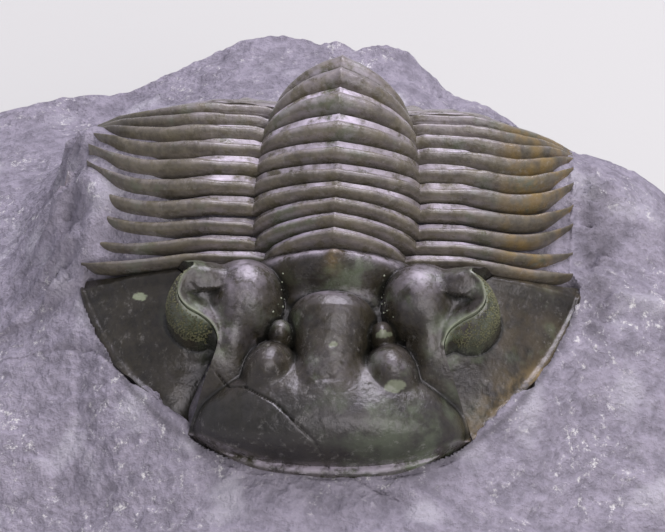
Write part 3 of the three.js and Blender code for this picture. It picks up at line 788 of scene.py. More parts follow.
def rock_masks(body, points):
    """Masks of the rock, whose third body coordinate is the distance from the fossil's outline"""
    x, s, edge = (body[..., i] for i in range(3))
    # Painted shade on the rock along the head's outline, and over the rough zone by the right rib tips
    shade = 0.6 * hill(edge, -0.1, 0.3) * (1 - smooth(s, 16, 19))
    return clamped({
        "film_and_sheen": 0.6 * smooth(layered_noise(points, 4.0, 11), 0.3, 1.0),
        "ochre": spot(x, s, ROCK_RUST, RUST_SPREAD),
        "dark": shade + 0.35 * rough_patch(x, s),
    })


def hollows(height, reach):
    """Share of painted shade in the hollows of a grid of heights"""
    kernel = np.ones(2 * reach + 1) / (2 * reach + 1)
    soft = height
    for axis in (0, 1):
        padded = np.pad(soft, [(reach, reach) if a == axis else (0, 0) for a in (0, 1)], mode="edge")
        soft = np.apply_along_axis(lambda line: np.convolve(line, kernel, mode="valid"), axis, padded)
    return smooth(soft - height, 0.02, 0.3)


def shade_hollows(masks, shade, share=1.0):
    """Paints shade into the hollows of a plate's upper face, and paints half shade on its walls"""
    shade = np.pad(shade, (0, len(masks["dark"]) - len(shade)), constant_values=0.5)
    masks["dark"] = np.maximum(masks["dark"], shade * share)


def add_masks(mesh, masks):
    """Gives the masks to a mesh, for its material to read"""
    for name, value in masks.items():
        mesh.attributes.new(name, "FLOAT", "POINT").data.foreach_set("value", value.astype(np.float32))


# Finishes

class Shader:
    """Helper for writing a material or a node group"""

    def __init__(self, tree):
        self.tree, self.nodes, self.links = tree, tree.nodes, tree.links

    def put(self, slot, value):
        if isinstance(value, bpy.types.NodeSocket):
            self.links.new(value, slot)
        elif value is not None:
            slot.default_value = value

    def node(self, kind, settings=None, **inputs):
        node = self.nodes.new(kind)
        for key, value in (settings or {}).items():
            setattr(node, key, value)
        for key, value in inputs.items():
            self.put(node.inputs[key.replace("_", " ")], value)
        return node

    def maths(self, operation, *values):
        node = self.node("ShaderNodeMath", {"operation": operation})
        for slot, value in zip(node.inputs, values):
            self.put(slot, value)
        return node.outputs[0]

    def blend(self, share, a, b):
        node = self.node("ShaderNodeMix", {"data_type": "RGBA"})
        self.put(node.inputs["Factor"], share)
        self.put(node.inputs["A"], a)
        self.put(node.inputs["B"], b)
        return node.outputs["Result"]

    def noise(self, where, scale, detail=4.0, roughness=0.55):
        node = self.node("ShaderNodeTexNoise", Scale=scale, Detail=detail, Roughness=roughness)
        self.links.new(where, node.inputs["Vector"])
        return node.outputs["Fac"]

    def ramp(self, value, low, high, to_low=0.0, to_high=1.0):
        node = self.node("ShaderNodeMapRange", {"interpolation_type": "SMOOTHSTEP"})
        limits = {"From Min": low, "From Max": high, "To Min": to_low, "To Max": to_high}
        for key, given in {"Value": value, **limits}.items():
            self.put(node.inputs[key], given)
        return node.outputs["Result"]

    def attribute(self, name):
        node = self.node("ShaderNodeAttribute", {"attribute_name": name})
        return node.outputs["Fac"]


def group_tree(name, inputs, outputs):
    """A shader node group with its inputs and outputs"""
    tree = bpy.data.node_groups.new(name, "ShaderNodeTree")
    kinds = {"float": "NodeSocketFloat", "color": "NodeSocketColor", "vector": "NodeSocketVector"}
    for label, (kind, default) in inputs.items():
        socket = tree.interface.new_socket(label, in_out="INPUT", socket_type=kinds[kind])
        if default is not None:
            socket.default_value = default
    for label, kind in outputs.items():
        tree.interface.new_socket(label, in_out="OUTPUT", socket_type=kinds[kind])
    shader = Shader(tree)
    return shader, shader.node("NodeGroupInput").outputs, shader.node("NodeGroupOutput").inputs


def grain_group():
    """Fine stone grain: a height for a Bump node and a value that varies the colour"""
    shader, given, out = group_tree(
        "stone_grain",
        {"Vector": ("vector", None), "Grain scale": ("float", 900.0), "Lump scale": ("float", 180.0),
         "Lump share": ("float", 0.5)},
        {"Height": "float", "Variation": "float"},
    )
    grain = shader.noise(given["Vector"], given["Grain scale"], 5.0, 0.65)
    lumps = shader.noise(given["Vector"], given["Lump scale"], 3.0, 0.5)
    height = shader.maths("ADD", grain, shader.maths("MULTIPLY", lumps, given["Lump share"]))
    shader.put(out["Height"], height)
    shader.put(out["Variation"], shader.maths("ADD", shader.maths("MULTIPLY", grain, 0.5),
                                              shader.maths("MULTIPLY", lumps, 0.5)))


def dust_group():
    """Pale specks and scratches left by the preparation tools"""
    shader, given, out = group_tree(
        "dust_specks",
        {"Vector": ("vector", None), "Color": ("color", (0.1, 0.1, 0.1, 1)),
         "Dust color": ("color", (0.5, 0.48, 0.52, 1)), "Amount": ("float", 0.3), "Scale": ("float", 500.0)},
        {"Color": "color"},
    )
    specks = shader.ramp(shader.noise(given["Vector"], given["Scale"], 6.0, 0.8), 0.54, 0.68)
    patches = shader.ramp(shader.noise(given["Vector"], 160.0, 4.0, 0.6), 0.42, 0.62)
    mask = shader.maths("MULTIPLY", shader.maths("MULTIPLY", specks, patches), given["Amount"])
    shader.put(out["Color"], shader.blend(mask, given["Color"], given["Dust color"]))


def new_material(name):
    """A material with one Principled surface"""
    material = bpy.data.materials.new(name)
    material.use_nodes = True
    material.node_tree.nodes.clear()
    shader = Shader(material.node_tree)
    surface = shader.node("ShaderNodeBsdfPrincipled")
    out = shader.node("ShaderNodeOutputMaterial")
    shader.links.new(surface.outputs[0], out.inputs["Surface"])
    return material, shader, surface


def placed_group(shader, name, **inputs):
    """A node group placed in a material with its own values"""
    node = shader.nodes.new("ShaderNodeGroup")
    node.node_tree = bpy.data.node_groups[name]
    for key, value in inputs.items():
        shader.put(node.inputs[key.replace("_", " ")], value)
    return node


def color(values, share=1.0):
    return (*(share * value for value in values), 1.0)


def add_dust(shader, surface, where, base, tint, amount, scale):
    """Puts a finish's colour on its surface, with dust over it"""
    dust = placed_group(shader, "dust_specks", Vector=where, Color=base, Dust_color=color(tint), Amount=amount,
                        Scale=scale)
    shader.put(surface.inputs["Base Color"], dust.outputs["Color"])


def add_bumps(shader, surface, grain, strength, distance):
    bumps = shader.node("ShaderNodeBump", Strength=strength, Distance=distance, Height=grain.outputs["Height"])
    shader.put(surface.inputs["Normal"], bumps.outputs[0])


def limestone_material(colors):
    """Rough limestone with white streaks, rust, dust and painted shade"""
    _, shader, surface = new_material("rough_limestone")
    where = shader.node("ShaderNodeTexCoord").outputs["Object"]
    grain = placed_group(shader, "stone_grain", Vector=where, Grain_scale=1500.0, Lump_scale=520.0, Lump_share=0.9)
    grainy = shader.ramp(grain.outputs["Variation"], 0.35, 0.65)
    base = shader.blend(grainy, color(colors.rock_dark), color(colors.rock))
    # On the rock this mask holds only the pale streaks, with no sheen
    base = shader.blend(shader.attribute("film_and_sheen"), base, color(colors.rock_pale))
    base = shader.blend(shader.maths("MULTIPLY", shader.attribute("ochre"), 0.8), base, color(colors.rust))
    # Painted shade: the dark mask blends the colour towards the shadow colour
    base = shader.blend(shader.attribute("dark"), base, color(ROCK_SHADOW))
    add_dust(shader, surface, where, base, ROCK_DUST, 0.9, 1200.0)
    add_bumps(shader, surface, grain, 1.0, 0.0006)
    surface.inputs["Roughness"].default_value = 0.9
    surface.inputs["Specular IOR Level"].default_value = 0.25


def shell_material(colors):
    """Dark olive shell with a purplish film and a painted lilac sheen on its upward faces, worn green patches, brown
    stain, pale chips with a painted highlight line along the eye rims, and painted shade
    """
    _, shader, surface = new_material("fossil_shell")
    texture = shader.node("ShaderNodeTexCoord")
    where = texture.outputs["Object"]
    grain = placed_group(shader, "stone_grain", Vector=where, Grain_scale=1900.0, Lump_scale=420.0, Lump_share=0.8)
    normal = shader.node("ShaderNodeSeparateXYZ", Vector=texture.outputs["Normal"])
    # Painted sheen: faces that point up take more of the lilac colour, as if lit from above
    facing_up = shader.ramp(normal.outputs["Z"], 0.25, 0.9, 0.2, 1.0)
    grainy = shader.ramp(grain.outputs["Variation"], 0.35, 0.65)

    def patchy(name, scale, detail, roughness, low, high):
        """A mask broken up by noise"""
        broken = shader.ramp(shader.noise(where, scale, detail, roughness), low, high)
        return shader.maths("MULTIPLY", shader.attribute(name), broken)

    base = shader.blend(grainy, color(colors.shell_dark), color(colors.shell))
    olive = shader.blend(grainy, color(colors.olive, 0.5), color(colors.olive))
    base = shader.blend(shader.attribute("rib"), base, olive)
    base = shader.blend(patchy("green", 330.0, 4.0, 0.6, 0.4, 0.62), base, color(colors.green))
    film_and_sheen = shader.maths("MULTIPLY", patchy("film_and_sheen", 700.0, 5.0, 0.7, 0.34, 0.58), facing_up)
    base = shader.blend(film_and_sheen, base, color(colors.film_and_sheen))
    base = shader.blend(patchy("ochre", 500.0, 4.0, 0.6, 0.35, 0.6), base, color(colors.ochre))
    base = shader.blend(shader.attribute("chip_and_rim_highlight"), base, color(colors.chip_and_rim_highlight))
    # Painted shade: the dark mask blends the colour towards the shadow colour
    base = shader.blend(shader.maths("MULTIPLY", shader.attribute("dark"), 0.85), base, color(SHELL_SHADOW))
    add_dust(shader, surface, where, base, SHELL_DUST, 0.25, 1300.0)
    add_bumps(shader, surface, grain, 0.45, 0.0002)
    shader.put(surface.inputs["Roughness"], shader.ramp(film_and_sheen, 0.0, 1.0, 0.27, 0.48))
    surface.inputs["Specular IOR Level"].default_value = 0.55
    surface.inputs["Specular Tint"].default_value = color(SHELL_SHEEN)


def plain_stone(name, base, roughness):
    """One stone colour, darker in patches"""
    _, shader, surface = new_material(name)
    where = shader.node("ShaderNodeTexCoord").outputs["Object"]
    spread = shader.ramp(shader.noise(where, 900.0, 3.0, 0.6), 0.35, 0.65)
    shader.put(surface.inputs["Base Color"], shader.blend(spread, color(base, 0.45), color(base)))
    surface.inputs["Roughness"].default_value = roughness


def finish_piece(name, mesh, material, node=None):
    """The object of a finished mesh, which rides on the fossil and stands for its solid where it has one"""
    mesh.name = name
    mesh.materials.clear()
    mesh.materials.append(bpy.data.materials[material])
    mesh.polygons.foreach_set("use_smooth", np.ones(len(mesh.polygons), bool))
    mesh.set_sharp_from_angle(angle=SHARP_ANGLE)
    piece = bpy.data.objects.new(name, mesh)
    bpy.context.scene.collection.objects.link(piece)
    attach(piece, "root")
    if node:
        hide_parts(node)


# Settings shown in the sidebar

def color_property(name, description, value):
    return FloatVectorProperty(name=name, description=description, default=value, subtype="COLOR", size=3,
                               min=0.0, max=1.0)


class FossilColors(bpy.types.PropertyGroup):
    rock: color_property("Rock", "Pale part of the limestone", (0.29, 0.264, 0.335))
    rock_dark: color_property("Rock shade", "Darker part of the limestone", (0.175, 0.16, 0.205))
    rock_pale: color_property("Rock streaks", "White streaks in the limestone", (0.42, 0.4, 0.47))
    rust: color_property("Rust", "Rusty spots on the rock", (0.3, 0.15, 0.05))
    olive: color_property("Thorax", "Main colour of the thorax and tail", (0.12, 0.104, 0.075))
    # The chip colour also paints the highlight line along the eye rims
    chip_and_rim_highlight: color_property("Chips", "Pale chipped spots on the head", (0.26, 0.29, 0.2))
    shell: color_property("Shell", "Main colour of the fossil shell", (0.033, 0.028, 0.018))
    shell_dark: color_property("Shell shade", "Darkest colour of the fossil shell", (0.014, 0.012, 0.008))
    green: color_property("Worn shell", "Greenish patches where the shell is worn", (0.075, 0.09, 0.055))
    # The film colour also paints the lilac sheen on upward faces and the reflection in the thorax valleys
    film_and_sheen: color_property("Film", "Purplish film of rock on the shell", (0.46, 0.405, 0.51))
    eye: color_property("Eye", "Grains of the eyes", (0.1, 0.098, 0.045))
    calcite: color_property("Calcite", "Small pale crystals", (0.42, 0.45, 0.36))
    ochre: color_property("Ochre", "Yellow-brown stain on the shell", (0.17, 0.12, 0.055))


class FossilSizes(bpy.types.PropertyGroup):
    rock_relief: FloatProperty(name="Rock relief", description="Height of the rock's lumps", default=0.0006,
                               unit="LENGTH", min=0.0, max=0.002)
    shell_relief: FloatProperty(name="Shell relief", description="Height of the shell's unevenness",
                                default=0.00006, unit="LENGTH", min=0.0, max=0.0005)
    grain_seed: IntProperty(name="Seed", description="Seed of the eye grains and crystals", default=4, min=0)
    grain_size: FloatProperty(name="Eye grain", description="Diameter of one grain on the eyes",
                              default=0.00017, unit="LENGTH", min=0.00005, max=0.001)


class StageSettings(bpy.types.PropertyGroup):
    floor_color: color_property("Floor", "Colour of the floor", (0.42, 0.416, 0.42))
    floor_size: FloatProperty(name="Floor size", description="Side of the floor", default=6.0, unit="LENGTH")
    key_power: FloatProperty(name="Key light", description="Power of the main light", default=8.6, unit="POWER")
    fill_power: FloatProperty(name="Fill light", description="Power of the front light", default=6.5, unit="POWER")


# Operators

def fossil_outline():
    """Outline of the fossil in (x, s), once round from the left corner of the head"""
    xs = np.linspace(-HEAD_HALF[0], HEAD_HALF[1], 61)
    points = [(-HEAD_HALF[0], HEAD_LENGTH + GENAL_BACK)]
    points += [(x, float(head_front(np.float64(x)))) for x in xs]
    points.append((HEAD_HALF[1], HEAD_LENGTH + GENAL_BACK))
    points += [(REACH[1], middle_of(i) + TIP_SWEEP[i]) for i in range(10)]
    turns = np.linspace(math.pi, 0, 41)[1:-1]
    points += [(-TAIL_HALF * math.cos(t), TAIL_START + TIP_SWEEP[9] * 0.5 * (1 - math.sin(t))
                + TAIL_LENGTH * math.sin(t)) for t in turns]
    points += [(-REACH[0], middle_of(i) + TIP_SWEEP[i]) for i in range(9, -1, -1)]
    return points


def outside_distance(x, s):
    """Distance from the fossil's outline, negative under the fossil"""
    outline = fossil_outline()
    closed = outline + outline[:1]
    distance, _ = nearest(closed, x, s)
    inside = np.zeros(x.shape, bool)
    for (ax, a_s), (bx, b_s) in zip(closed[:-1], closed[1:]):
        if a_s == b_s:
            continue
        crosses = ((a_s > s) != (b_s > s)) & (x < ax + (bx - ax) * (s - a_s) / (b_s - a_s))
        inside ^= crosses
    return np.where(inside, -distance, distance)


def wave(a, b, c):
    """Slow unevenness of the rock's large forms"""
    return (0.5 * np.sin(a * 0.21 + c) + 0.35 * np.sin(b * 0.17 - a * 0.09 + 2.1 * c)
            + 0.15 * np.sin((a + b) * 0.37 + c))


def margin_level(x, s):
    """Height of the plates' lower edge at the fossil's margin"""
    out = np.minimum(outward(x), 1.05)
    near = clamp(x, -BED_HALF, BED_HALF)
    middles = [middle_of(i) for i in range(10)]
    line = s
    for _ in range(4):
        line = s - np.interp(line, middles, TIP_SWEEP) * out**3
    droop = np.interp(line, middles, TIP_DROOP)
    ribs = np.interp(line, middles, FLANK_LIFT) - droop * out**DROOP_POWER + roll(near, s)
    return mix(vault(near), ribs, smooth(s, HEAD_LENGTH, HEAD_LENGTH + 2))


def rough_patch(x, s):
    """The rough zone of rock by the right rib tips"""
    return hill(x, 21.6, 1.6) * smooth(s, 13, 17) * (1 - smooth(s, 30, 34))


def bed_under_fossil(x, s):
    """Height of the rock under the plates, which keeps below all of them"""
    m = np.abs(x)
    under_ribs = -along(BED_DROOP, s) * np.minimum(outward(x), 1.0) ** DROOP_POWER - 0.4 * smooth(s, 25, 29)
    under_head = vault(np.minimum(m, BED_HALF)) - 0.3
    bed = mix(under_ribs, under_head, 1 - smooth(s, HEAD_LENGTH, HEAD_LENGTH + 2.5)) - SHELL_DEPTH - BED_GAP
    return bed + roll(clamp(x, -BED_HALF, BED_HALF), s) - ROCK_FALL * np.maximum(0, m - BED_HALF)


def covered(x, s, edge, thorax):
    """Height of the rock that laps over the margin and fills between the ribs, and how far it covers"""
    m = np.abs(x)
    between = thorax * np.maximum(smooth(-x, 12.5, 16.0), 0.85 * smooth(x, 15.5, 18.5))
    coarse, close = lattice_noise(x / 1.3, s / 1.3, 0.5, 17), lattice_noise(x / 0.5, s / 0.5, 0.5, 18)
    uneven_edge = edge + 0.3 * coarse + 0.15 * close
    front = (1 - smooth(m, 9.5, 12.5)) * (1 - smooth(s, 6, 8))
    corner = smooth(m, 10.5, 11.5) * (1 - smooth(m, 14, 17)) * (1 - smooth(s, 9, 12))
    lapping = mix(smooth(uneven_edge + corner * side(x, (0.9, 0.6)), -0.75, -0.2), smooth(edge, -0.5, -0.2), front)
    cover = np.maximum(lapping, between) * (1 - smooth(s, 50, 60))
    groove = front * hill(edge, 0.22, 0.16) * (0.3 + 0.5 * lattice_noise(x / 2, s / 2, 0.5, 19))
    level = margin_level(x, s) - 0.75 * between * smooth(-edge, -1.0, 3.0) - ROCK_FALL * np.maximum(0, m - BED_HALF)
    level = level + 0.5 - 0.3 * front - groove + 0.9 * smooth(edge, -1.0, 3.5) * smooth(-x, 12, 20) * thorax
    return level, cover


def rock_surface(x, s, relief):
    """Points of the rock's top in millimetres, and the distance from the fossil's outline"""
    m = np.abs(x)
    edge = outside_distance(x, s)
    thorax = smooth(s, 18.5, 20.5) * (1 - smooth(s, 40, 44))
    level, cover = covered(x, s, edge, thorax)
    h = mix(bed_under_fossil(x, s), level, cover) + LAP * smooth(m, FOSSIL_EDGE, FOSSIL_EDGE + 3) * (1 - cover)
    h = h + RIDGE_RISE * line_mark(ROCK_RIDGE, RIDGE_WIDTH, x, s) + KNOB_RISE * spot(x, s, ROCK_KNOB, KNOB_SPREAD)
    for path in ROCK_CRACKS:
        h = h - ROCK_CRACK_DEPTH * line_mark(path, ROCK_CRACK_WIDTH, x, s)
    points = place(np.stack([x, s, h], -1))
    px, py, pz = (points[..., i] for i in range(3))

    # The piece rolls down at the flanks to the ground's level, and is cut lower at the rear right
    shoulder = smooth(m, SHOULDER_START, side(x, SHOULDER_END))
    slope = side(x, ROCK_GROUND) - 0.3 * np.maximum(0, 2 - py) - 0.05 * np.maximum(0, py)
    ground = np.maximum(ROCK_LOWEST, slope) + 0.6 * wave(px, py, 1)
    cut = CUT_DEPTH * smooth(x + 0.8 * (py - 8), CUT_FROM, CUT_TO)
    top = pz - 1.4 * smooth(m, 4, 16) * smooth(s, 45, 60) * smooth(edge, 0, 4)
    z = np.maximum(ROCK_LOWEST / 2, mix(top, np.minimum(top, ground), shoulder) - cut)
    far = smooth(s, 40, 50) * smooth(edge, 1, 5)
    z = z + far * (0.9 * hill(x, 16.5, 2.6) - 2.2 * hill(x, 8.5, 3.4))

    # Lumps, rougher beside the left rib tips and by the right ones
    lumps, small = layered_noise(points, 9.0, 5, 4), layered_noise(points, 1.6, 31, 3)
    fine = layered_noise(points, 0.7, 37, 2)
    ragged = 1 + 5.0 * hill(x, -23.5, 2.6) * thorax + 4.0 * rough_patch(x, s)
    z = z + (lumps + (small * 0.45 + fine * 0.22) * ragged) * relief * smooth(edge, -0.3, 1.5)
    return np.stack([px, py, z], -1), edge


class FOSSIL_OT_materials(bpy.types.Operator):
    """Makes the shader groups and the two stone finishes"""
    bl_idname = "fossil.materials"
    bl_label = "Finishes"

    def execute(self, context):
        grain_group()
        dust_group()
        colors = context.scene.fossil_colors
        limestone_material(colors)
        shell_material(colors)
        plain_stone("eye_grain", colors.eye, 0.4)
        plain_stone("calcite_crumb", colors.calcite, 0.3)
        return {"FINISHED"}


class FOSSIL_OT_rock(bpy.types.Operator):
    """Makes the piece of limestone"""
    bl_idname = "fossil.rock"
    bl_label = "Rock"

    def execute(self, context):
        relief = context.scene.fossil_sizes.rock_relief / MM
        columns, row_count = 271, 301
        u, v = np.meshgrid(np.linspace(-1, 1, columns), np.linspace(0, 1, row_count))
        back = along(ROCK_ROWS, v)
        corner = 1 - 0.16 * np.abs(2 * back - 1) ** 4 - np.where(u > 0, 0.28 * smooth(back, 0.62, 1), 0)
        half = side(u, ROCK_HALF) * corner
        x = np.sign(u) * along(ROCK_COLUMNS, np.abs(u)) * half + np.abs(u) ** 6 * 1.2 * wave(back * 80, u * 9, 3)
        turned = 1.6 * wave(u * 40, back * 9, 5) - 5 * u**4 * np.sign(back - 0.5)
        s = mix(ROCK_FRONT, ROCK_BACK, back) + np.abs(2 * back - 1) ** 6 * turned
        top, edge_distance = rock_surface(x, s, relief)
        points = [top.reshape(-1, 3)]
        body = [np.stack([x, s, edge_distance], -1).reshape(-1, 3)]
        edge = grid_edge(row_count, columns)
        following = np.roll(np.arange(len(edge)), -1)
        faces = [grid_faces(row_count, columns)]
        rim = points[0][edge]
        upper, count = edge, len(points[0])
        for level in np.linspace(1, 0, 13)[1:]:
            swollen = along(ROCK_SIDES, level) * (1 + wave(rim[:, 0] * 2, rim[:, 1] * 2, (1 - level) * 2))
            out = 1 + (swollen - 1.5 * (1 - level)) / ROCK_SPAN
            lower = np.stack([
                ROCK_MIDDLE[0] + (rim[:, 0] - ROCK_MIDDLE[0]) * out,
                ROCK_MIDDLE[1] + (rim[:, 1] - ROCK_MIDDLE[1]) * out,
                rim[:, 2] * level,
            ], -1)
            if 0 < level < 1:
                chips = layered_noise(lower, 5.0, 71, 4) * 0.55
                lower[:, :2] += chips[:, None] * (rim[:, :2] - ROCK_MIDDLE) / ROCK_SPAN
            points.append(lower)
            body.append(np.stack([lower[:, 0], lower[:, 1], np.full(len(lower), FAR_OUT)], -1))
            low = count + np.arange(len(edge))
            faces.append(np.stack([upper, low, low[following], upper[following]], 1))
            upper, count = low, count + len(edge)
        points.append(np.array([[*ROCK_MIDDLE, 0.0]]))
        body.append(np.array([[*ROCK_MIDDLE, FAR_OUT]]))
        faces.append(np.stack([np.full(len(edge), count), upper[following], upper], 1))
        points, body = np.concatenate(points), np.concatenate(body)
        mesh = mesh_of("matrix_rock", body, faces, points)
        add_masks(mesh, rock_masks(body, points))
        finish_piece("matrix_rock", mesh, "rough_limestone", "matrix")
        return {"FINISHED"}


def grain_tree():
    """Small grains scattered over a surface, half sunk in it"""
    tree, given = geometry_tree("surface_grains", {
        "Radius": 0.00012, "Spacing": 0.0002, "Density": 3e7, "Smallest": 0.7, "Largest": 1.2, "Seed": 0,
    })
    scatter = tree.nodes.new("GeometryNodeDistributePointsOnFaces")
    scatter.distribute_method = "POISSON"
    for source, slot in (("Geometry", "Mesh"), ("Spacing", "Distance Min"), ("Density", "Density Max"),
                         ("Seed", "Seed")):
        tree.links.new(given[source], scatter.inputs[slot])
    grain = linked(tree, "GeometryNodeMeshIcoSphere", Radius=given["Radius"])
    grain.inputs["Subdivisions"].default_value = 2
    size = linked(tree, "FunctionNodeRandomValue", Seed=given["Seed"])
    size.data_type = "FLOAT"
    tree.links.new(given["Smallest"], size.inputs[2])
    tree.links.new(given["Largest"], size.inputs[3])
    copies = linked(tree, "GeometryNodeInstanceOnPoints", Points=scatter.outputs["Points"],
                    Rotation=scatter.outputs["Rotation"], Instance=grain.outputs["Mesh"], Scale=size.outputs[1])
    return end_tree(tree, copies.outputs["Instances"], given["Material"])


def open_patch(rows):
    """An open sheet of body coordinates, for grains to be scattered on"""
    faces = grid_faces(*rows.shape[:2])
    return mesh_of("patch", rows.reshape(-1, 3), [faces])


def uneven(body, relief):
    """Raises and lowers the surface a little"""
    body[..., 2] += layered_noise(body, 1.6, 41) * relief
    return body


class FOSSIL_OT_cranidium(bpy.types.Operator):
    """Makes the middle part of the head"""
    bl_idname = "fossil.cranidium"
    bl_label = "Cranidium"

    def execute(self, context):
        relief = context.scene.fossil_sizes.shell_relief / MM
        columns, row_count = 321, 260
        v = np.linspace(0, 1, row_count)[:, None]
        ends = suture_at(v[:, 0], -0.03)
        ends[-1, 1] = HEAD_LENGTH
        u = np.linspace(-1, 1, columns)[None, :]
        x = u * LOBE_HALF + np.sign(u) * np.abs(u) ** 6 * (ends[:, :1] - LOBE_HALF)
        bow = np.maximum(0, SUTURE_FRONT - head_front(x)) * (1 - v) ** 1.6 * (1 - u**8)
        s = ends[:, 1:] - bow
        body = uneven(np.stack([x, s, head_relief(x, s)], -1), relief)
        # Painted shade in the hollows, fading out over the rim
        shade = hollows(body[..., 2], 8).ravel()
        mesh, body = plate_mesh("cranidium_shell", body, bed_under_head, (0.0, 13.0))
        values = head_masks(body)
        shade_hollows(values, shade, smooth(body[:, 1] - head_front(body[:, 0]), *RIM_SHADE))
        add_masks(mesh, values)
        finish_piece("cranidium_shell", mesh, "fossil_shell", "cranidium")
        return {"FINISHED"}


def cheek_grid(sign, columns, row_count):
    """Body coordinates of a free cheek, with rows that follow the suture"""
    half, depth = (pair[0] if sign < 0 else pair[1] for pair in (HEAD_HALF, CHEEK_SINK))
    v = np.linspace(0, 1, row_count)[:, None]
    front_branch = smooth(v[:, 0], 0.0, 0.12) * (1 - smooth(v[:, 0], 0.26, 0.38))
    gap = 0.03 if sign > 0 else 0.03 + 0.85 * front_branch
    inner = suture_at(v[:, 0], gap)
    inner[-1, 1] = HEAD_LENGTH
    turn = mix(SUTURE[0][0] / half + 0.02, 1, np.sin(v * math.pi / 2) ** 0.85)
    outer = sign * half * turn
    outer_s = np.maximum(head_front(outer), inner[:, 1:] * 0.9)
    outer_s[-1] = HEAD_LENGTH + GENAL_BACK
    u = np.linspace(0, 1, columns)[None, :] ** 1.3
    x = sign * mix(inner[:, :1], np.abs(outer), u)
    bend = mix(u, u * u, smooth(v, 0.93, 1.0))
    s = mix(inner[:, 1:], np.minimum(outer_s, HEAD_LENGTH + GENAL_BACK), bend)
    sink = depth * (1 - smooth(v, 0.25, 0.5)) * (1 - u) ** 1.5
    body = np.stack([x, s, cheek_relief(x, s) - sink], -1)
    return body[:, ::-1] if sign < 0 else body


class FOSSIL_OT_cheeks(bpy.types.Operator):
    """Makes the two free cheeks with the lens surfaces of the eyes"""
    bl_idname = "fossil.cheeks"
    bl_label = "Free cheeks"

    def execute(self, context):
        relief = context.scene.fossil_sizes.shell_relief / MM
        for sign, label in ((-1, "left"), (1, "right")):
            body = uneven(cheek_grid(sign, 120, 240), relief)
            # Painted shade in the hollows
            shade = hollows(body[..., 2], 5).ravel()
            mesh, body = plate_mesh("cheek_" + label, body, bed_under_head, (sign * 15.0, 14.0))
            values = head_masks(body)
            shade_hollows(values, shade)
            # Painted shadow in the wide gap along the front branch of the suture on the left cheek
            if sign < 0:
                branch = nearest(SUTURE[1:5], -body[:, 0], body[:, 1])[0]
                values["dark"] = np.maximum(values["dark"], 1.1 * smooth(branch, 2.0, 0.7))
            values["film_and_sheen"] *= 0.35
            add_masks(mesh, clamped(values))
            finish_piece("cheek_" + label, mesh, "fossil_shell", "free_cheek_" + label)
        return {"FINISHED"}


class FOSSIL_OT_grains(bpy.types.Operator):
    """Scatters the lens grains on the eyes and the small crystals in the furrow beside the axis"""
    bl_idname = "fossil.grains"
    bl_label = "Eye grains and crystals"

    def execute(self, context):
        sizes = context.scene.fossil_sizes
        tree = grain_tree()
        along_path = np.linspace(0, 1, 90)[:, None]
        for sign, label in ((-1, "left"), (1, "right")):
            share = np.linspace(0.12, 0.97, 80)[:, None]
            width = along(EYE_WIDTH, share) * np.linspace(0.1, 0.9, 14)[None, :]
            point = curve_through(EYE_PATH, share[:, 0])
            step = unit_step(EYE_PATH, share[:, 0], 0.01)
            x = point[:, :1] + width * step[:, 1:]
            s = point[:, 1:] - width * step[:, :1]
            lens = np.stack([sign * x, s, cheek_relief(sign * x, s) - 0.02], -1)
            line = curve_through(FURROW, along_path[:, 0])
            across = np.linspace(-0.22, 0.22, 6)[None, :]
            x, s = sign * (line[:, :1] + across), line[:, 1:] + 0 * across
            seam = np.stack([x, s, head_relief(x, s) - 0.01], -1)
            jobs = (
                ("eye_grains_" + label, lens, "eye_grain", sizes.grain_size / 2, sizes.grain_size * 0.8, 0.7, 1.2),
                ("furrow_crystals_" + label, seam, "calcite_crumb", 0.00009, 0.0008, 0.15, 1.1),
            )
            for name, patch, material, radius, spacing, smallest, largest in jobs:
                patch = patch[:, ::-1] if sign < 0 else patch
                values = {"Radius": radius, "Spacing": spacing, "Density": 3e7, "Smallest": smallest,
                          "Largest": largest, "Seed": sizes.grain_seed, "Material": bpy.data.materials[material]}
                mesh = grown_mesh(tree, values, open_patch(patch))
                finish_piece(name, mesh, material)
        return {"FINISHED"}


def bent_piece(name, tree, values, node, relief):
    """A piece grown straight in body coordinates and then laid over the back"""
    mesh = grown_mesh(tree, values)
    body = coordinates(mesh)
    uneven(body, relief)
    mesh.vertices.foreach_set("co", (place(body) * MM).astype(np.float32).ravel())
    mesh.update()
    relief_height = np.empty(len(body), np.float32)
    mesh.attributes["relief"].data.foreach_get("value", relief_height)
    values = rib_masks(body)
    on_tail = smooth(body[:, 1] - TAIL_START, 5, 9)
    # Painted reflection: the lilac is laid mostly in the low valleys behind each rod, and less on the tail
    values["film_and_sheen"] = values["film_and_sheen"] * mix(0.3 + 0.7 * smooth(-relief_height, -0.3, 0.1), 0.3, on_tail)
    add_masks(mesh, values)
    finish_piece(name, mesh, "fossil_shell", node)


class FOSSIL_OT_thorax(bpy.types.Operator):
    """Makes the ten thorax segments"""
    bl_idname = "fossil.thorax"
    bl_label = "Thorax segments"

    def execute(self, context):
        relief = context.scene.fossil_sizes.shell_relief / MM
        tree = rib_tree()
        for i, length in enumerate(SEGMENT_LENGTHS):
            values = {
                "Length": float(length), "Middle": float(middle_of(i)), "Ring half-width": float(RING_HALF[i]),
                "Ring rise": float(RING_RISE[i]), "Flank lift": float(FLANK_LIFT[i]),
                "Tip sweep": float(TIP_SWEEP[i]), "Tip droop": float(TIP_DROOP[i]),
                "Reach left": REACH[0], "Reach right": REACH[1], "Material": bpy.data.materials["fossil_shell"],
            }
            number = f"{i + 1:02d}"
            bent_piece("thorax_rib_" + number, tree, values, "segment_" + number, relief)
        return {"FINISHED"}


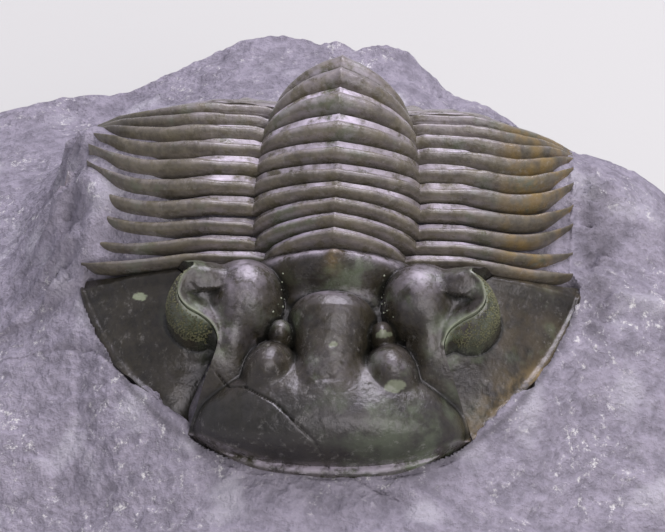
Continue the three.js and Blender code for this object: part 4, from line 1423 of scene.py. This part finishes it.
class FOSSIL_OT_tail(bpy.types.Operator):
    """Makes the fan of the tail shield"""
    bl_idname = "fossil.tail"
    bl_label = "Tail shield"

    def execute(self, context):
        relief = context.scene.fossil_sizes.shell_relief / MM
        bent_piece("tail_fan", tail_tree(), {"Material": bpy.data.materials["fossil_shell"]}, "tail_shield", relief)
        return {"FINISHED"}


class FOSSIL_OT_stage(bpy.types.Operator):
    """Makes the floor, the lights and the camera"""
    bl_idname = "fossil.stage"
    bl_label = "Stage"

    def execute(self, context):
        settings = context.scene.fossil_stage
        half = settings.floor_size / 2
        mesh = bpy.data.meshes.new("floor")
        mesh.from_pydata([(-half, -half, 0), (half, -half, 0), (half, half, 0), (-half, half, 0)], [], [(0, 1, 2, 3)])
        material, _, surface = new_material("floor")
        surface.inputs["Base Color"].default_value = color(settings.floor_color)
        surface.inputs["Roughness"].default_value = 0.9
        mesh.materials.append(material)
        floor = bpy.data.objects.new("floor", mesh)
        floor.location.z = -0.0002
        context.scene.collection.objects.link(floor)
        lights = (
            ("key", settings.key_power, 0.5, (0.12, 0.28, 0.75), (0.99, 0.96, 1.0)),
            ("fill", settings.fill_power, 0.7, (0.25, -0.65, 0.5), (1.0, 0.97, 0.9)),
        )
        target = Vector((0.0, 0.0, 0.025))
        for name, power, size, where, tint in lights:
            light = bpy.data.lights.new(name, "AREA")
            light.energy, light.size, light.color = power, size, tint
            lamp = bpy.data.objects.new(name, light)
            lamp.location = where
            lamp.rotation_euler = (target - lamp.location).to_track_quat("-Z", "Y").to_euler()
            context.scene.collection.objects.link(lamp)
        world = bpy.data.worlds.new("studio")
        world.use_nodes = True
        world.node_tree.nodes["Background"].inputs[0].default_value = (0.9, 0.92, 1.0, 1)
        world.node_tree.nodes["Background"].inputs[1].default_value = 0.42
        context.scene.world = world
        context.scene.view_settings.view_transform = "Standard"
        camera_data = bpy.data.cameras.new("camera")
        camera_data.sensor_width = SENSOR
        camera_data.lens = SENSOR * PIXELS_PER_MM * VIEW_DISTANCE / MM / FRAME_WIDTH
        camera_data.clip_start, camera_data.clip_end = 0.01, 20.0
        camera = bpy.data.objects.new("camera", camera_data)
        back = Vector((math.sin(VIEW_AZIMUTH) * math.cos(VIEW_ELEVATION),
                       -math.cos(VIEW_AZIMUTH) * math.cos(VIEW_ELEVATION), math.sin(VIEW_ELEVATION)))
        right = Vector((math.cos(VIEW_AZIMUTH), math.sin(VIEW_AZIMUTH), 0))
        turn = Matrix((right, back.cross(right), back)).transposed().to_4x4()
        camera.matrix_world = Matrix.Translation(VIEW_AIM + back * VIEW_DISTANCE) @ turn
        context.scene.collection.objects.link(camera)
        context.scene.camera = camera
        return {"FINISHED"}


OPERATORS = (
    FOSSIL_OT_materials, FOSSIL_OT_rock, FOSSIL_OT_cranidium, FOSSIL_OT_cheeks, FOSSIL_OT_grains,
    FOSSIL_OT_thorax, FOSSIL_OT_tail, FOSSIL_OT_stage,
)


class FOSSIL_PT_panel(bpy.types.Panel):
    """Lists the pieces of the fossil and their settings"""
    bl_idname = "FOSSIL_PT_panel"
    bl_label = "Trilobite fossil"
    bl_space_type = "VIEW_3D"
    bl_region_type = "UI"
    bl_category = "Fossil"

    def draw(self, context):
        for group in (context.scene.fossil_sizes, context.scene.fossil_colors, context.scene.fossil_stage):
            box = self.layout.box()
            for key in group.__annotations__:
                box.prop(group, key)
        for operator in OPERATORS:
            self.layout.operator(operator.bl_idname)


GROUPS = {"fossil_sizes": FossilSizes, "fossil_colors": FossilColors, "fossil_stage": StageSettings}


def register():
    for cls in (*GROUPS.values(), *OPERATORS, FOSSIL_PT_panel):
        bpy.utils.register_class(cls)
    for name, group in GROUPS.items():
        setattr(bpy.types.Scene, name, PointerProperty(type=group))


def unregister():
    for name in GROUPS:
        delattr(bpy.types.Scene, name)
    for cls in (FOSSIL_PT_panel, *reversed(OPERATORS), *reversed(GROUPS.values())):
        bpy.utils.unregister_class(cls)


def main():
    register()
    bpy.ops.fossil.materials()
    bpy.ops.fossil.rock()
    bpy.ops.fossil.cranidium()
    bpy.ops.fossil.cheeks()
    bpy.ops.fossil.grains()
    bpy.ops.fossil.thorax()
    bpy.ops.fossil.tail()
    bpy.ops.fossil.stage()


if __name__ == "__main__":
    main()
